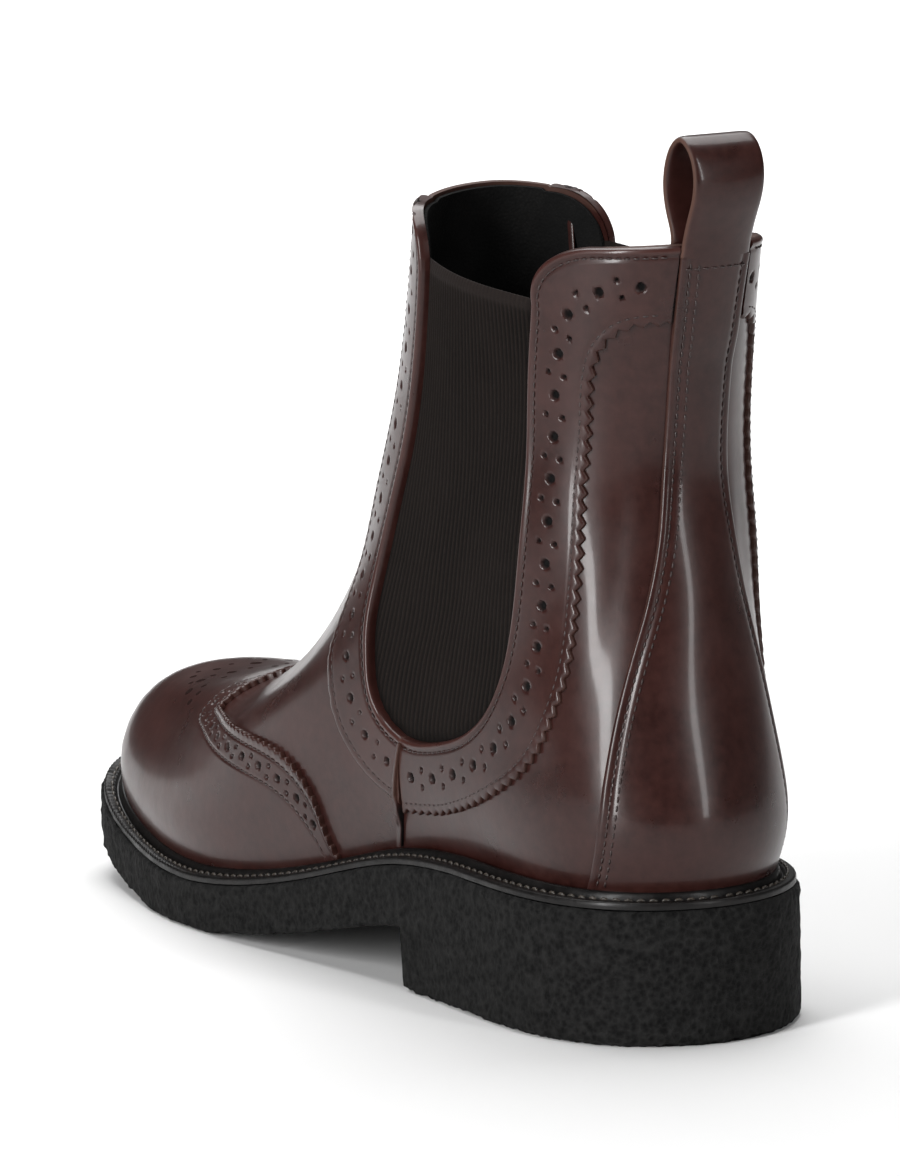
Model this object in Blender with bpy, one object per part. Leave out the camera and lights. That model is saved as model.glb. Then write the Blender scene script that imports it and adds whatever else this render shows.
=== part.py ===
"""Flat ankle boot with elastic side gores and a wing toe cap, left foot, standing empty on its sole.

Frame: origin at the middle of the heel's tread on the floor, +Y towards the toe, +X towards the inner
side of the foot, +Z up. All lengths are in metres.
"""
import math

import bpy
import numpy as np

MM = 0.001

# Driving sizes of the last and the upper
LAST_LENGTH = 262 * MM
BALL_WIDTH = 84 * MM
UPPER_HEIGHT = 166 * MM
HEEL_SEAT_BACK = -36 * MM
WALL = 2.4 * MM

# Driving sizes of the sole
HEEL_HEIGHT = 33 * MM
SOLE_THICKNESS = 12 * MM
WAIST_LIFT = 17 * MM
TOE_SPRING = 17 * MM
HEEL_BREAST = 45 * MM
BREAST_LEAN = 1.2 * MM
SOLE_REACH = 8.4 * MM
SOLE_EDGE_ROUND = 1.0 * MM

# Driving sizes of the smaller pieces
GAP = 0.3 * MM
WELT_SHELF = 1.8 * MM
WELT_BEAD = 3.4 * MM
WELT_INSET = 0.9 * MM
INSOLE_THICKNESS = 3.0 * MM
OVERLAY = 1.2 * MM
FOOT_GAP = 1.0 * MM
UNDER_LIFT = 0.6 * MM
GORE_THICKNESS = 1.4 * MM
GORE_RECESS = 0.5 * MM
GORE_RIM = 1.2 * MM
FACING_WIDTH = 19 * MM
SEAM_WIDTH = 3.2 * MM
TAB_REACH = 17 * MM
TAB_DROP = 13 * MM
STRAP_FOOT_WIDTH = 64 * MM
STRAP_SHIFT = 1.4 * MM
LOOP_WIDTH = 19.6 * MM
LOOP_THICKNESS = 1.8 * MM
LOOP_HEIGHT = 26.8 * MM
LOOP_BULGE_BACK = 4.6 * MM
LOOP_BULGE_FRONT = 4.2 * MM
LOOP_TAIL = 15 * MM
LOOP_JOINT = 2.6 * MM

# The last, one row for each ring from the feather line up to the collar. front and back say how far
# forward the ring's two ends lie, as shares of LAST_LENGTH from the heel's back. front_rise and
# back_rise are their heights over the sole, as shares of UPPER_HEIGHT. follow is how much of the sole's
# curve the ring keeps. lean moves the ring to the inner side and the seven last columns are half widths,
# all as shares of BALL_WIDTH. slim is how much narrower the inner side is than the outer one, and sag how
# far the ring's middle hangs under the straight line between its ends, as a share of UPPER_HEIGHT. The
# half widths stand at the shares of the ring's own length in WIDTH_STATIONS, where the first and the
# last give the radius of that end.
WIDTH_STATIONS = (0.0, 0.14, 0.34, 0.55, 0.73, 0.90, 1.0)
LAST_ROWS = (
    # front, front_rise, back, back_rise, follow, lean, slim, sag, heel_end, seat, waist, joint, ball, toe, toe_end
    (0.992, 0.000, -0.015, 0.000, 1.00, 0.000, 0.00, 0.000, 0.325, 0.345, 0.315, 0.375, 0.444, 0.351, 0.370),
    (0.992, 0.053, -0.031, 0.060, 1.00, 0.000, 0.00, 0.000, 0.354, 0.377, 0.351, 0.410, 0.486, 0.389, 0.387),
    (0.980, 0.117, -0.034, 0.120, 1.00, 0.000, 0.00, 0.000, 0.370, 0.390, 0.376, 0.428, 0.490, 0.383, 0.378),
    (0.946, 0.177, -0.026, 0.187, 1.00, 0.001, 0.00, 0.000, 0.371, 0.383, 0.388, 0.434, 0.465, 0.345, 0.356),
    (0.885, 0.220, -0.013, 0.265, 0.95, 0.003, 0.00, 0.000, 0.359, 0.371, 0.388, 0.428, 0.435, 0.314, 0.330),
    (0.765, 0.249, -0.001, 0.349, 0.85, 0.008, 0.00, 0.000, 0.334, 0.352, 0.381, 0.409, 0.401, 0.290, 0.300),
    (0.650, 0.293, 0.009, 0.434, 0.70, 0.015, 0.05, 0.000, 0.297, 0.340, 0.374, 0.391, 0.367, 0.256, 0.278),
    (0.551, 0.389, 0.017, 0.518, 0.50, 0.020, 0.14, 0.000, 0.282, 0.330, 0.372, 0.379, 0.345, 0.242, 0.270),
    (0.493, 0.503, 0.024, 0.600, 0.30, 0.025, 0.27, 0.000, 0.272, 0.318, 0.369, 0.378, 0.342, 0.243, 0.275),
    (0.450, 0.623, 0.023, 0.686, 0.15, 0.030, 0.42, 0.004, 0.271, 0.303, 0.370, 0.389, 0.349, 0.249, 0.291),
    (0.413, 0.768, 0.013, 0.798, 0.00, 0.033, 0.58, 0.011, 0.289, 0.294, 0.383, 0.412, 0.367, 0.261, 0.320),
    (0.374, 0.976, -0.010, 0.947, 0.00, 0.036, 0.72, 0.021, 0.307, 0.272, 0.413, 0.449, 0.409, 0.287, 0.349),
)

# The middle line of the last seen from above: station as a share of LAST_LENGTH, and how far it swings
# towards the inner side, as a share of BALL_WIDTH
SWING = ((0.0, 0.02), (0.20, 0.015), (0.45, -0.02), (0.70, 0.02), (0.88, 0.035), (1.0, 0.03))

# The sole's line: station as a share of LAST_LENGTH, the share of HEEL_HEIGHT left over the tread's
# own height, and the share of TOE_SPRING reached
SOLE_LINE = (
    (-0.05, 1.0, 0.0),
    (0.22, 1.0, 0.0),
    (0.34, 0.86, 0.0),
    (0.46, 0.47, 0.0),
    (0.58, 0.13, 0.0),
    (0.68, 0.0, 0.0),
    (0.78, 0.0, 0.05),
    (0.88, 0.0, 0.26),
    (0.96, 0.0, 0.62),
    (1.04, 0.0, 1.0),
)
FOREFOOT_FLAT = (0.66, 0.74)

# The side gore's outline seen from the side: forward as a share of LAST_LENGTH, and height over the
# heel seat as a share of UPPER_HEIGHT, from the front top, down round the foot and up to the back top
GORE_EDGE = (
    (0.266, 1.020),
    (0.277, 0.890),
    (0.300, 0.750),
    (0.325, 0.620),
    (0.352, 0.500),
    (0.369, 0.390),
    (0.369, 0.290),
    (0.350, 0.212),
    (0.312, 0.181),
    (0.255, 0.187),
    (0.203, 0.214),
    (0.165, 0.265),
    (0.145, 0.350),
    (0.132, 0.460),
    (0.126, 0.570),
    (0.124, 0.680),
    (0.118, 0.780),
    (0.107, 0.880),
    (0.098, 1.020),
)
GORE_TOP_FRONT = 0.895
GORE_TOP_BACK = 0.862

# Lines on the last's inner side, mirrored for the outer side: round is the share of the way from the
# heel's back round to the line, 0.5 at the toe, and up counts the last's rows
WING_EDGE = (
    (0.240, 0.34),
    (0.245, 1.14),
    (0.249, 1.86),
    (0.257, 2.59),
    (0.269, 3.16),
    (0.287, 3.57),
    (0.311, 3.88),
    (0.342, 4.12),
    (0.362, 4.32),
    (0.378, 4.62),
    (0.398, 4.93),
    (0.430, 5.27),
    (0.465, 5.60),
    (0.500, 5.85),
)
QUARTER_BAND_EDGE = (
    (0.2017, 1.27),
    (0.1826, 1.28),
    (0.1470, 2.02),
    (0.1171, 3.04),
    (0.0992, 4.13),
    (0.0940, 5.06),
    (0.0955, 6.27),
    (0.0970, 7.50),
    (0.0996, 9.03),
    (0.1020, 9.73),
    (0.0940, 10.08),
    (0.0780, 10.20),
    (0.0460, 10.23),
)
SIDE_SEAM = ((0.2080, 0.30), (0.2032, 1.65), (0.2014, 3.05))

# The back strap: up on the last, and its half width as a share of STRAP_FOOT_WIDTH
STRAP_EDGE = ((0.0, 0.50), (1.5, 0.49), (2.8, 0.445), (4.0, 0.375), (5.0, 0.305), (6.1, 0.225), (7.1, 0.172), (8.3, 0.143), (9.4, 0.136), (11.0, 0.148))

RING_STEPS = 58
LEVEL_STEPS = 21
CAP_STEPS = (14, 43)
BAND_STEPS = (4, 24)
SOLE_STEPS = 34


def spline_weights(knots, x):
    """Weights of a natural cubic spline through the knots, one row of weights for each x."""
    knots = np.asarray(knots, float)
    x = np.asarray(x, float)
    count = len(knots)
    step = np.diff(knots)
    bend = np.zeros((count, count))
    pull = np.zeros((count, count))
    bend[0, 0] = bend[-1, -1] = 1.0
    for i in range(1, count - 1):
        bend[i, i - 1:i + 2] = step[i - 1], 2 * (step[i - 1] + step[i]), step[i]
        pull[i, i - 1:i + 2] = 6 / step[i - 1], -6 / step[i - 1] - 6 / step[i], 6 / step[i]
    curve = np.linalg.solve(bend, pull)
    cell = np.clip(np.searchsorted(knots, x, side="right") - 1, 0, count - 2)
    width = step[cell]
    b = (x - knots[cell]) / width
    a = 1 - b
    rows = np.arange(len(x))
    weights = np.zeros((len(x), count))
    weights[rows, cell] += a
    weights[rows, cell + 1] += b
    weights += ((a ** 3 - a) * width ** 2 / 6)[:, None] * curve[cell]
    weights += ((b ** 3 - b) * width ** 2 / 6)[:, None] * curve[cell + 1]
    return weights


def spline_table(table, x):
    """Columns of a table read at x, where the table's first column is the place of each row."""
    table = np.asarray(table, float)
    x = np.clip(x, table[0, 0], table[-1, 0])
    return spline_weights(table[:, 0], x) @ table[:, 1:]


def station(y):
    """Share of LAST_LENGTH at the place y."""
    return (y - HEEL_SEAT_BACK) / LAST_LENGTH


def place(share):
    """The place y at a share of LAST_LENGTH."""
    return HEEL_SEAT_BACK + share * LAST_LENGTH


def sole_top(y):
    """Height of the sole's upper face, on which insole, upper and welt stand."""
    drop, spring = np.clip(spline_table(SOLE_LINE, station(np.asarray(y, float))), 0, 1).T
    return SOLE_THICKNESS + drop * (HEEL_HEIGHT - SOLE_THICKNESS) + spring * TOE_SPRING


def swing(y):
    """How far the last's middle line lies towards the inner side."""
    return BALL_WIDTH * spline_table(SWING, station(np.asarray(y, float)))[:, 0]


def last_point(round_, up):
    """Points of the last: rings of the section table, each an oval with its own round ends."""
    round_, up = np.broadcast_arrays(np.asarray(round_, float), np.asarray(up, float))
    shape = round_.shape
    turn = 2 * math.pi * round_.ravel()
    rows = np.arange(len(LAST_ROWS), dtype=float)
    ring = spline_weights(rows, np.clip(up.ravel(), 0, rows[-1])) @ np.asarray(LAST_ROWS)
    front, front_rise, back, back_rise, follow, lean, slim, sag = ring[:, :8].T
    share = (1 - np.cos(turn)) / 2
    length = (front - back) * LAST_LENGTH
    knots = np.asarray(WIDTH_STATIONS)
    half = ring[:, 8:] * BALL_WIDTH
    oval = 2 * np.sqrt(knots[1:-1] * (1 - knots[1:-1]))
    half[:, 1:-1] /= oval
    half[:, 0] = np.sqrt(half[:, 0] * length / 2)
    half[:, -1] = np.sqrt(half[:, -1] * length / 2)
    fullness = (spline_weights(knots, share) * half).sum(axis=1)
    fullness *= 1 - np.where(np.sin(turn) > 0, slim * share * (1 - 0.6 * share ** 4), 0)
    y = place(back) + share * length
    x = swing(y) + lean * BALL_WIDTH + np.sin(turn) * fullness
    rise = UPPER_HEIGHT * (back_rise + (front_rise - back_rise) * share - sag * np.sin(math.pi * share))
    z = follow * sole_top(y) + (1 - follow) * HEEL_HEIGHT + rise + GAP
    return np.stack([x, y, z], axis=-1).reshape(shape + (3,))


def last_slopes(round_, up):
    """How the last's points move with round and with up, by small differences."""
    tiny = 1e-4
    top = len(LAST_ROWS) - 1
    low, high = np.clip(up - tiny, 0, top), np.clip(up + tiny, 0, top)
    along = (last_point(round_ + tiny, up) - last_point(round_ - tiny, up)) / (2 * tiny)
    rising = (last_point(round_, high) - last_point(round_, low)) / (high - low)[..., None]
    return along, rising


def last_normal(round_, up):
    """Outward direction of the last."""
    along, rising = last_slopes(round_, up)
    normal = np.cross(along, rising)
    return normal / np.linalg.norm(normal, axis=-1, keepdims=True)


def lifted(round_, up, lift):
    """Points at a height over the last, measured square to it."""
    round_, up = np.broadcast_arrays(np.asarray(round_, float), np.asarray(up, float))
    return last_point(round_, up) + np.asarray(lift)[..., None] * last_normal(round_, up)


def find_on_last(targets, axes, round_, up):
    """Round and up where the last has the target values on the two named axes, by Newton steps."""
    round_ = np.array(round_, float)
    up = np.array(up, float)
    a, b = ("xyz".index(axis) for axis in axes)
    for _ in range(25):
        here = last_point(round_, up)
        along, rising = last_slopes(round_, up)
        miss_a = targets[..., 0] - here[..., a]
        miss_b = targets[..., 1] - here[..., b]
        size = along[..., a] * rising[..., b] - rising[..., a] * along[..., b]
        round_ += np.clip((miss_a * rising[..., b] - miss_b * rising[..., a]) / size, -0.03, 0.03)
        up += np.clip((miss_b * along[..., a] - miss_a * along[..., b]) / size, -1.0, 1.0)
        up = np.clip(up, 0, len(LAST_ROWS) - 1)
    return round_, up


def slide_on_last(round_, up, offset):
    """Round and up of the points that lie beside a path on the last, offset to its left."""
    path = last_point(round_, up)
    ahead = np.gradient(path, axis=0)
    side = np.cross(last_normal(round_, up), ahead)
    side /= np.linalg.norm(side, axis=-1, keepdims=True)
    target = path + side * np.asarray(offset)[..., None]
    round_, up = np.array(round_, float), np.array(up, float)
    for _ in range(12):
        along, rising = last_slopes(round_, up)
        miss = target - last_point(round_, up)
        aa, bb, ab = (along ** 2).sum(-1), (rising ** 2).sum(-1), (along * rising).sum(-1)
        ma, mb = (miss * along).sum(-1), (miss * rising).sum(-1)
        size = aa * bb - ab ** 2
        round_ = round_ + (ma * bb - mb * ab) / size
        up = np.clip(up + (mb * aa - ma * ab) / size, 0, len(LAST_ROWS) - 1)
    return round_, up


def along_path(points, count):
    """Evenly spaced points on a smooth curve through the given ones."""
    points = np.asarray(points, float)
    reach = np.r_[0, np.cumsum(np.linalg.norm(np.diff(points, axis=0), axis=1))]
    fine = spline_weights(reach, np.linspace(0, reach[-1], 400)) @ points
    run = np.r_[0, np.cumsum(np.linalg.norm(np.diff(fine, axis=0), axis=1))]
    at = np.linspace(0, run[-1], count)
    return np.stack([np.interp(at, run, fine[:, i]) for i in range(fine.shape[1])], axis=1)


def plain_material(name, color, roughness, metallic=0.0):
    """A plain Principled material."""
    material = bpy.data.materials.new(name)
    material.use_nodes = True
    shader = material.node_tree.nodes["Principled BSDF"]
    shader.inputs["Base Color"].default_value = (*color, 1)
    shader.inputs["Roughness"].default_value = roughness
    shader.inputs["Metallic"].default_value = metallic
    return material


def add_object(name, points, faces, material):
    """A mesh object from points and faces, shaded smooth with its hard edges kept."""
    mesh = bpy.data.meshes.new(name)
    mesh.from_pydata([tuple(p) for p in points], [], [tuple(f) for f in faces])
    mesh.validate()
    mesh.shade_smooth()
    mesh.set_sharp_from_angle(angle=math.radians(40))
    mesh.materials.append(material)
    made = bpy.data.objects.new(name, mesh)
    bpy.context.scene.collection.objects.link(made)
    return made


def grid_faces(rows, columns, start=0, wrap=False, flip=False):
    """Quads of a grid of points stored row by row, closed round the columns if wrap is set."""
    faces = []
    for i in range(rows - 1):
        for j in range(columns if wrap else columns - 1):
            k = (j + 1) % columns
            quad = (start + i * columns + j, start + i * columns + k,
                    start + (i + 1) * columns + k, start + (i + 1) * columns + j)
            faces.append(quad[::-1] if flip else quad)
    return faces


def slab(name, outer, inner, material):
    """A closed plate between two grids of points of one size, outer facing the row-by-column normal."""
    rows, columns = outer.shape[:2]
    size = rows * columns
    points = np.concatenate([outer.reshape(-1, 3), inner.reshape(-1, 3)])
    faces = grid_faces(rows, columns) + grid_faces(rows, columns, size, flip=True)
    rim = [(i, 0) for i in range(rows)]
    rim += [(rows - 1, j) for j in range(1, columns)]
    rim += [(i, columns - 1) for i in range(rows - 2, -1, -1)]
    rim += [(0, j) for j in range(columns - 2, 0, -1)]
    marks = [i * columns + j for i, j in rim]
    for a, b in zip(marks, marks[1:] + marks[:1]):
        faces.append((a, b, size + b, size + a))
    made = add_object(name, points, faces, material)
    face_outwards(made)
    return made


def face_outwards(made):
    """Turns a closed mesh's faces round if they point inwards."""
    mesh = made.data
    mesh.calc_loop_triangles()
    volume = 0.0
    for triangle in mesh.loop_triangles:
        a, b, c = (mesh.vertices[i].co for i in triangle.vertices)
        volume += a.dot(b.cross(c))
    if volume < 0:
        mesh.flip_normals()


def plate_on_last(name, round_, up, low, high, material):
    """A plate that lies on the last between two heights over it."""
    return slab(name, lifted(round_, up, high), lifted(round_, up, low), material)


def ring_rounds():
    """Round shares of a ring's points."""
    return np.arange(RING_STEPS) / RING_STEPS


def rows_over_sole(round_, height):
    """How many rows of the last lie below a small height over the sole."""
    share = (1 - np.cos(2 * math.pi * np.asarray(round_))) / 2
    front, back = LAST_ROWS[1][1], LAST_ROWS[1][3]
    return height / (UPPER_HEIGHT * (back + (front - back) * share))


def outsole_outline(round_):
    """Plan of the sole's edge: the feather line moved outwards by SOLE_REACH, level with the floor."""
    edge = last_point(round_, 0 * round_)
    along, _ = last_slopes(round_, 0 * round_)
    out = np.stack([along[:, 1], -along[:, 0]], axis=1)
    out /= np.linalg.norm(out, axis=1, keepdims=True)
    return edge[:, :2] + SOLE_REACH * out, out


def sole_under(y):
    """Height of the sole's underside before the heel is added: flat tread, lifted waist and toe spring."""
    lift, spring = np.clip(spline_table(SOLE_LINE, station(np.asarray(y, float))), 0, 1).T
    return WAIST_LIFT * lift + spring * TOE_SPRING


def sole_rounds():
    """Rounds of the sole's stations from the heel's back to the toe on the inner and the outer side,
    with two stations at the breast, so that the heel's front face has its own edges."""
    fine = np.linspace(0, 0.5, 400)
    inner_y = outsole_outline(fine)[0][:, 1]
    outer_y = outsole_outline(1 - fine)[0][:, 1]
    shares = (1 - np.cos(np.linspace(0, math.pi, SOLE_STEPS))) / 2
    reach = inner_y[-1] - inner_y[0]
    places = inner_y[0] + shares * reach
    places = places[np.abs(places - HEEL_BREAST) > 3 * MM]
    flat_start, flat_end = (place(share) for share in FOREFOOT_FLAT)
    places = np.sort(np.r_[places, HEEL_BREAST, HEEL_BREAST + BREAST_LEAN, flat_start, flat_end])
    inner = np.interp(places, inner_y, fine)
    outer = 1 - np.interp(places, outer_y, fine)
    return places, inner, outer


def build_outsole(material):
    """One moulded piece: tread, lifted waist and heel, with rounded upper and lower edges."""
    places, inner, outer = sole_rounds()
    count = len(places)
    round_ = np.r_[inner, outer[-2:0:-1]]
    plan, out = outsole_outline(round_)
    y = np.r_[places, places[-2:0:-1]]
    top = sole_top(y)
    under = np.where(y > HEEL_BREAST + BREAST_LEAN / 2, sole_under(y), 0.0)
    flat = (y >= place(FOREFOOT_FLAT[0]) - MM) & (y <= place(FOREFOOT_FLAT[1]) + MM)
    under[flat] = 0.0
    rings = []
    for inset, height in ((1.2, under), (0.0, under + SOLE_EDGE_ROUND), (0.0, top - SOLE_EDGE_ROUND), (0.8, top)):
        ring = np.c_[plan - out * inset * SOLE_EDGE_ROUND, height]
        rings.append(ring)
    points = np.concatenate(rings)
    size = len(round_)
    faces = grid_faces(4, size, wrap=True)
    for start, flip in ((0, True), (3 * size, False)):
        faces += ladder(start, count, size, flip)
    made = add_object("outsole", points, faces, material)
    face_outwards(made)
    return made


def ladder(start, count, size, flip):
    """Faces across a closed outline of size points, from its first point to the one opposite."""
    faces = [(start, start + 1, start + size - 1)]
    for i in range(1, count - 2):
        faces.append((start + i, start + i + 1, start + size - i - 1, start + size - i))
    faces.append((start + count - 2, start + count - 1, start + count))
    return [face[::-1] for face in faces] if flip else faces


def build_welt(material):
    """A strip round the upper's foot: a raised bead against the upper and a lower shelf outside it."""
    round_ = ring_rounds()
    bead_up = rows_over_sole(round_, WELT_BEAD)
    foot = lifted(round_, 0 * round_, np.full(RING_STEPS, 1.5 * GAP))
    head = lifted(round_, 0 * round_ + bead_up, np.full(RING_STEPS, 1.5 * GAP))
    edge, out = outsole_outline(round_)
    edge = edge - out * WELT_INSET
    profile = (
        # share of the way out, height
        (foot[:, :2], 0.0, 0.0),
        (head[:, :2], 0.0, WELT_BEAD),
        (head[:, :2], 0.30, WELT_BEAD),
        (head[:, :2], 0.46, WELT_SHELF),
        (head[:, :2], 1.0, WELT_SHELF),
        (head[:, :2], 1.0, 0.0),
    )
    rings = []
    for start, share, height in profile:
        plan = start + (edge - start) * share
        rings.append(np.c_[plan, sole_top(plan[:, 1]) + GAP + height])
    grid = np.stack(rings, axis=0)
    points = grid.reshape(-1, 3)
    faces = grid_faces(len(rings), RING_STEPS, wrap=True)
    last = (len(rings) - 1) * RING_STEPS
    for j in range(RING_STEPS):
        k = (j + 1) % RING_STEPS
        faces.append((last + j, last + k, k, j))
    made = add_object("welt", points, faces, material)
    face_outwards(made)
    return made


def build_insole(material):
    """A board inside the upper, on the sole."""
    count = RING_STEPS // 2 + 1
    round_ = ring_rounds()
    edge = last_point(round_, 0 * round_)
    along, _ = last_slopes(round_, 0 * round_)
    out = np.stack([along[:, 1], -along[:, 0]], axis=1)
    out /= np.linalg.norm(out, axis=1, keepdims=True)
    plan = edge[:, :2] - out * (WALL + 2 * GAP)
    base = sole_top(edge[:, 1]) + GAP
    points = np.concatenate([np.c_[plan, base], np.c_[plan, base + INSOLE_THICKNESS]])
    faces = grid_faces(2, RING_STEPS, wrap=True)
    faces += ladder(0, count, RING_STEPS, True) + ladder(RING_STEPS, count, RING_STEPS, False)
    made = add_object("insole", points, faces, material)
    face_outwards(made)
    return made


def wall_grid(outer_lift, inner_lift):
    """Outer and inner points of a shell over the whole last, from the feather line to the collar."""
    round_ = ring_rounds()
    levels = np.linspace(0, len(LAST_ROWS) - 1, LEVEL_STEPS)
    turns, ups = np.meshgrid(round_, levels)
    outer = lifted(turns, ups, np.full(turns.shape, outer_lift))
    inner = lifted(turns, ups, np.full(turns.shape, inner_lift))
    inner[0, :, 2] = outer[0, :, 2]
    inner[-1, :, 2] = outer[-1, :, 2]
    return outer, inner


def build_shell(name, outer_lift, inner_lift, material):
    """A hollow shell over the last, open at the foot and at the collar."""
    outer, inner = wall_grid(outer_lift, inner_lift)
    rows, columns = outer.shape[:2]
    size = rows * columns
    points = np.concatenate([outer.reshape(-1, 3), inner.reshape(-1, 3)])
    faces = grid_faces(rows, columns, wrap=True) + grid_faces(rows, columns, size, wrap=True, flip=True)
    for j in range(columns):
        k = (j + 1) % columns
        top = (rows - 1) * columns
        faces.append((k, j, size + j, size + k))
        faces.append((top + j, top + k, size + top + k, size + top + j))
    made = add_object(name, points, faces, material)
    face_outwards(made)
    return made


def gore_outline(grow):
    """The gore's U in the side view, moved outwards by grow, as points from the front top to the back top."""
    path = along_path(np.asarray(GORE_EDGE) * (LAST_LENGTH, UPPER_HEIGHT), 40)
    ahead = np.gradient(path, axis=0)
    side = np.stack([ahead[:, 1], -ahead[:, 0]], axis=1)
    side /= np.linalg.norm(side, axis=1, keepdims=True)
    path = path - side * grow
    return path + (HEEL_SEAT_BACK, HEEL_HEIGHT)


def prism(name, outline, low, high):
    """A cutter: an outline in the side view, drawn out from low to high along X."""
    count = len(outline)
    near = np.c_[np.full(count, low), outline]
    far = np.c_[np.full(count, high), outline]
    faces = [tuple(range(count)), tuple(range(2 * count - 1, count - 1, -1))]
    faces += [(i, count + i, count + (i + 1) % count, (i + 1) % count) for i in range(count)]
    made = add_object(name, np.concatenate([near, far]), faces, bpy.data.materials[0])
    face_outwards(made)
    made.hide_render = True
    made.display_type = "WIRE"
    return made


def boolean(target, cutter, operation):
    """An exact Boolean left live on its object."""
    modifier = target.modifiers.new(cutter.name, "BOOLEAN")
    modifier.operation = operation
    modifier.solver = "EXACT"
    modifier.object = cutter


def corner_arc(centre, start, end, count=7):
    """Points on a quarter of the tab's rounded corner from one angle to another, in degrees."""
    angles = np.radians(np.linspace(start, end, count))
    return centre + np.stack([TAB_REACH * np.cos(angles), TAB_DROP * np.sin(angles)], axis=1)


def collar_height(y):
    """Height of the collar's edge at the place y."""
    front, front_rise, back, back_rise = LAST_ROWS[-1][:4]
    share = (station(y) - back) / (front - back)
    hang = LAST_ROWS[-1][7] * np.sin(math.pi * np.clip(share, 0, 1))
    return HEEL_HEIGHT + GAP + UPPER_HEIGHT * (back_rise + (front_rise - back_rise) * share - hang)


def notch_outline(grow):
    """The notch for a gore: its U and the rounded corners of the tabs, from the front corner to the back."""
    outline = gore_outline(grow)
    outline = outline[outline[:, 1] < collar_height(outline[:, 0]) - TAB_DROP]
    front, back = outline[0], outline[-1]
    front_centre = np.array([front[0] + TAB_REACH, collar_height(front[0] + TAB_REACH) - TAB_DROP - grow])
    back_centre = np.array([back[0] - TAB_REACH, collar_height(back[0] - TAB_REACH) - TAB_DROP - grow])
    return corner_arc(front_centre, 90, 180), outline, corner_arc(back_centre, 0, 90)


def gore_cutter():
    """The cutter of the notches, open above the collar."""
    front_arc, outline, back_arc = notch_outline(0.0)
    above = HEEL_HEIGHT + 1.1 * UPPER_HEIGHT
    roof = np.array([[back_arc[-1, 0], above], [front_arc[0, 0], above]])
    points = np.concatenate([front_arc, outline, back_arc, roof])
    return prism("gore_cutter", points, -BALL_WIDTH, BALL_WIDTH)


def gore_panel(name, side, shell, material):
    """One elastic side panel: the shell's wall inside the U, a gap smaller than its notch."""
    outline = gore_outline(-GAP)
    seat = HEEL_HEIGHT
    front_top = seat + GORE_TOP_FRONT * UPPER_HEIGHT
    back_top = seat + GORE_TOP_BACK * UPPER_HEIGHT
    first, last = outline[0], outline[-1]
    share = (outline[:, 0] - first[0]) / (last[0] - first[0])
    roof = front_top + (back_top - front_top) * share
    outline = outline[outline[:, 1] < roof - MM]
    front = np.array([[outline[0, 0], front_top]])
    back = np.array([[outline[-1, 0], back_top]])
    points = np.concatenate([front, outline, back])
    reach = BALL_WIDTH if side > 0 else -BALL_WIDTH
    cutter = prism(name + "_outline", points, min(0, reach), max(0, reach))
    panel = shell.copy()
    panel.data = shell.data.copy()
    panel.name = name
    panel.data.materials.clear()
    panel.data.materials.append(material)
    bpy.context.scene.collection.objects.link(panel)
    boolean(panel, cutter, "INTERSECT")
    return panel


def build_upper(material):
    """The hollow upper: one wall over the last with its two gore notches."""
    upper = build_shell("upper", 0.0, -WALL, material)
    boolean(upper, gore_cutter(), "DIFFERENCE")
    return upper


def build_gores(material):
    """The elastic side panels, set a little below the upper's face."""
    shell = build_shell("gore_shell", -GORE_RECESS, -GORE_RECESS - GORE_THICKNESS, material)
    for name, side in (("gore_inner", 1), ("gore_outer", -1)):
        gore_panel(name, side, shell, material)
    bpy.data.objects.remove(shell)


def resample(path, count):
    """Evenly spaced points along a path given by its (round, up), measured on the last."""
    points = last_point(path[:, 0], path[:, 1])
    run = np.r_[0, np.cumsum(np.linalg.norm(np.diff(points, axis=0), axis=1))]
    at = np.linspace(0, run[-1], count)
    return np.stack([np.interp(at, run, path[:, i]) for i in range(2)], axis=1)


def smooth_line(table, count):
    """A smooth line on the last through a table of (round, up)."""
    table = np.asarray(table, float)
    points = last_point(table[:, 0], table[:, 1])
    run = np.r_[0, np.cumsum(np.linalg.norm(np.diff(points, axis=0), axis=1))]
    fine = spline_weights(run, np.linspace(0, run[-1], 300)) @ table
    return resample(fine, count)


def plate_between(name, low_edge, high_edge, rows, side, material):
    """A plate on the last between two lines of (round, up) with the same number of points."""
    shares = np.linspace(0, 1, rows)[:, None]
    rounds = low_edge[None, :, 0] + (high_edge - low_edge)[None, :, 0] * shares
    ups = low_edge[None, :, 1] + (high_edge - low_edge)[None, :, 1] * shares
    if side < 0:
        rounds = 1 - rounds
    lift = np.full(ups.shape, UNDER_LIFT)
    return plate_on_last(name, rounds, ups, lift, lift + OVERLAY, material)


def build_wing_cap(material):
    """The toe cap with its two wings, from the welt up to its edge."""
    rows, columns = CAP_STEPS
    half = smooth_line(WING_EDGE, columns // 2 + 1)
    edge = np.concatenate([half, np.stack([1 - half[-2::-1, 0], half[-2::-1, 1]], axis=1)])
    foot = np.stack([edge[:, 0], rows_over_sole(edge[:, 0], WELT_BEAD + FOOT_GAP)], axis=1)
    return plate_between("wing_cap", foot, edge, rows, 1, material)


def side_seam(up):
    """Round of the side seam's middle at a height."""
    table = np.asarray(SIDE_SEAM)
    return np.interp(up, table[:, 1], table[:, 0])


def seam_reach():
    """Half the seam piece and the gap beside it, as a share of the way round."""
    return (SEAM_WIDTH / 2 + GAP) / (math.pi * LAST_LENGTH)


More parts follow.
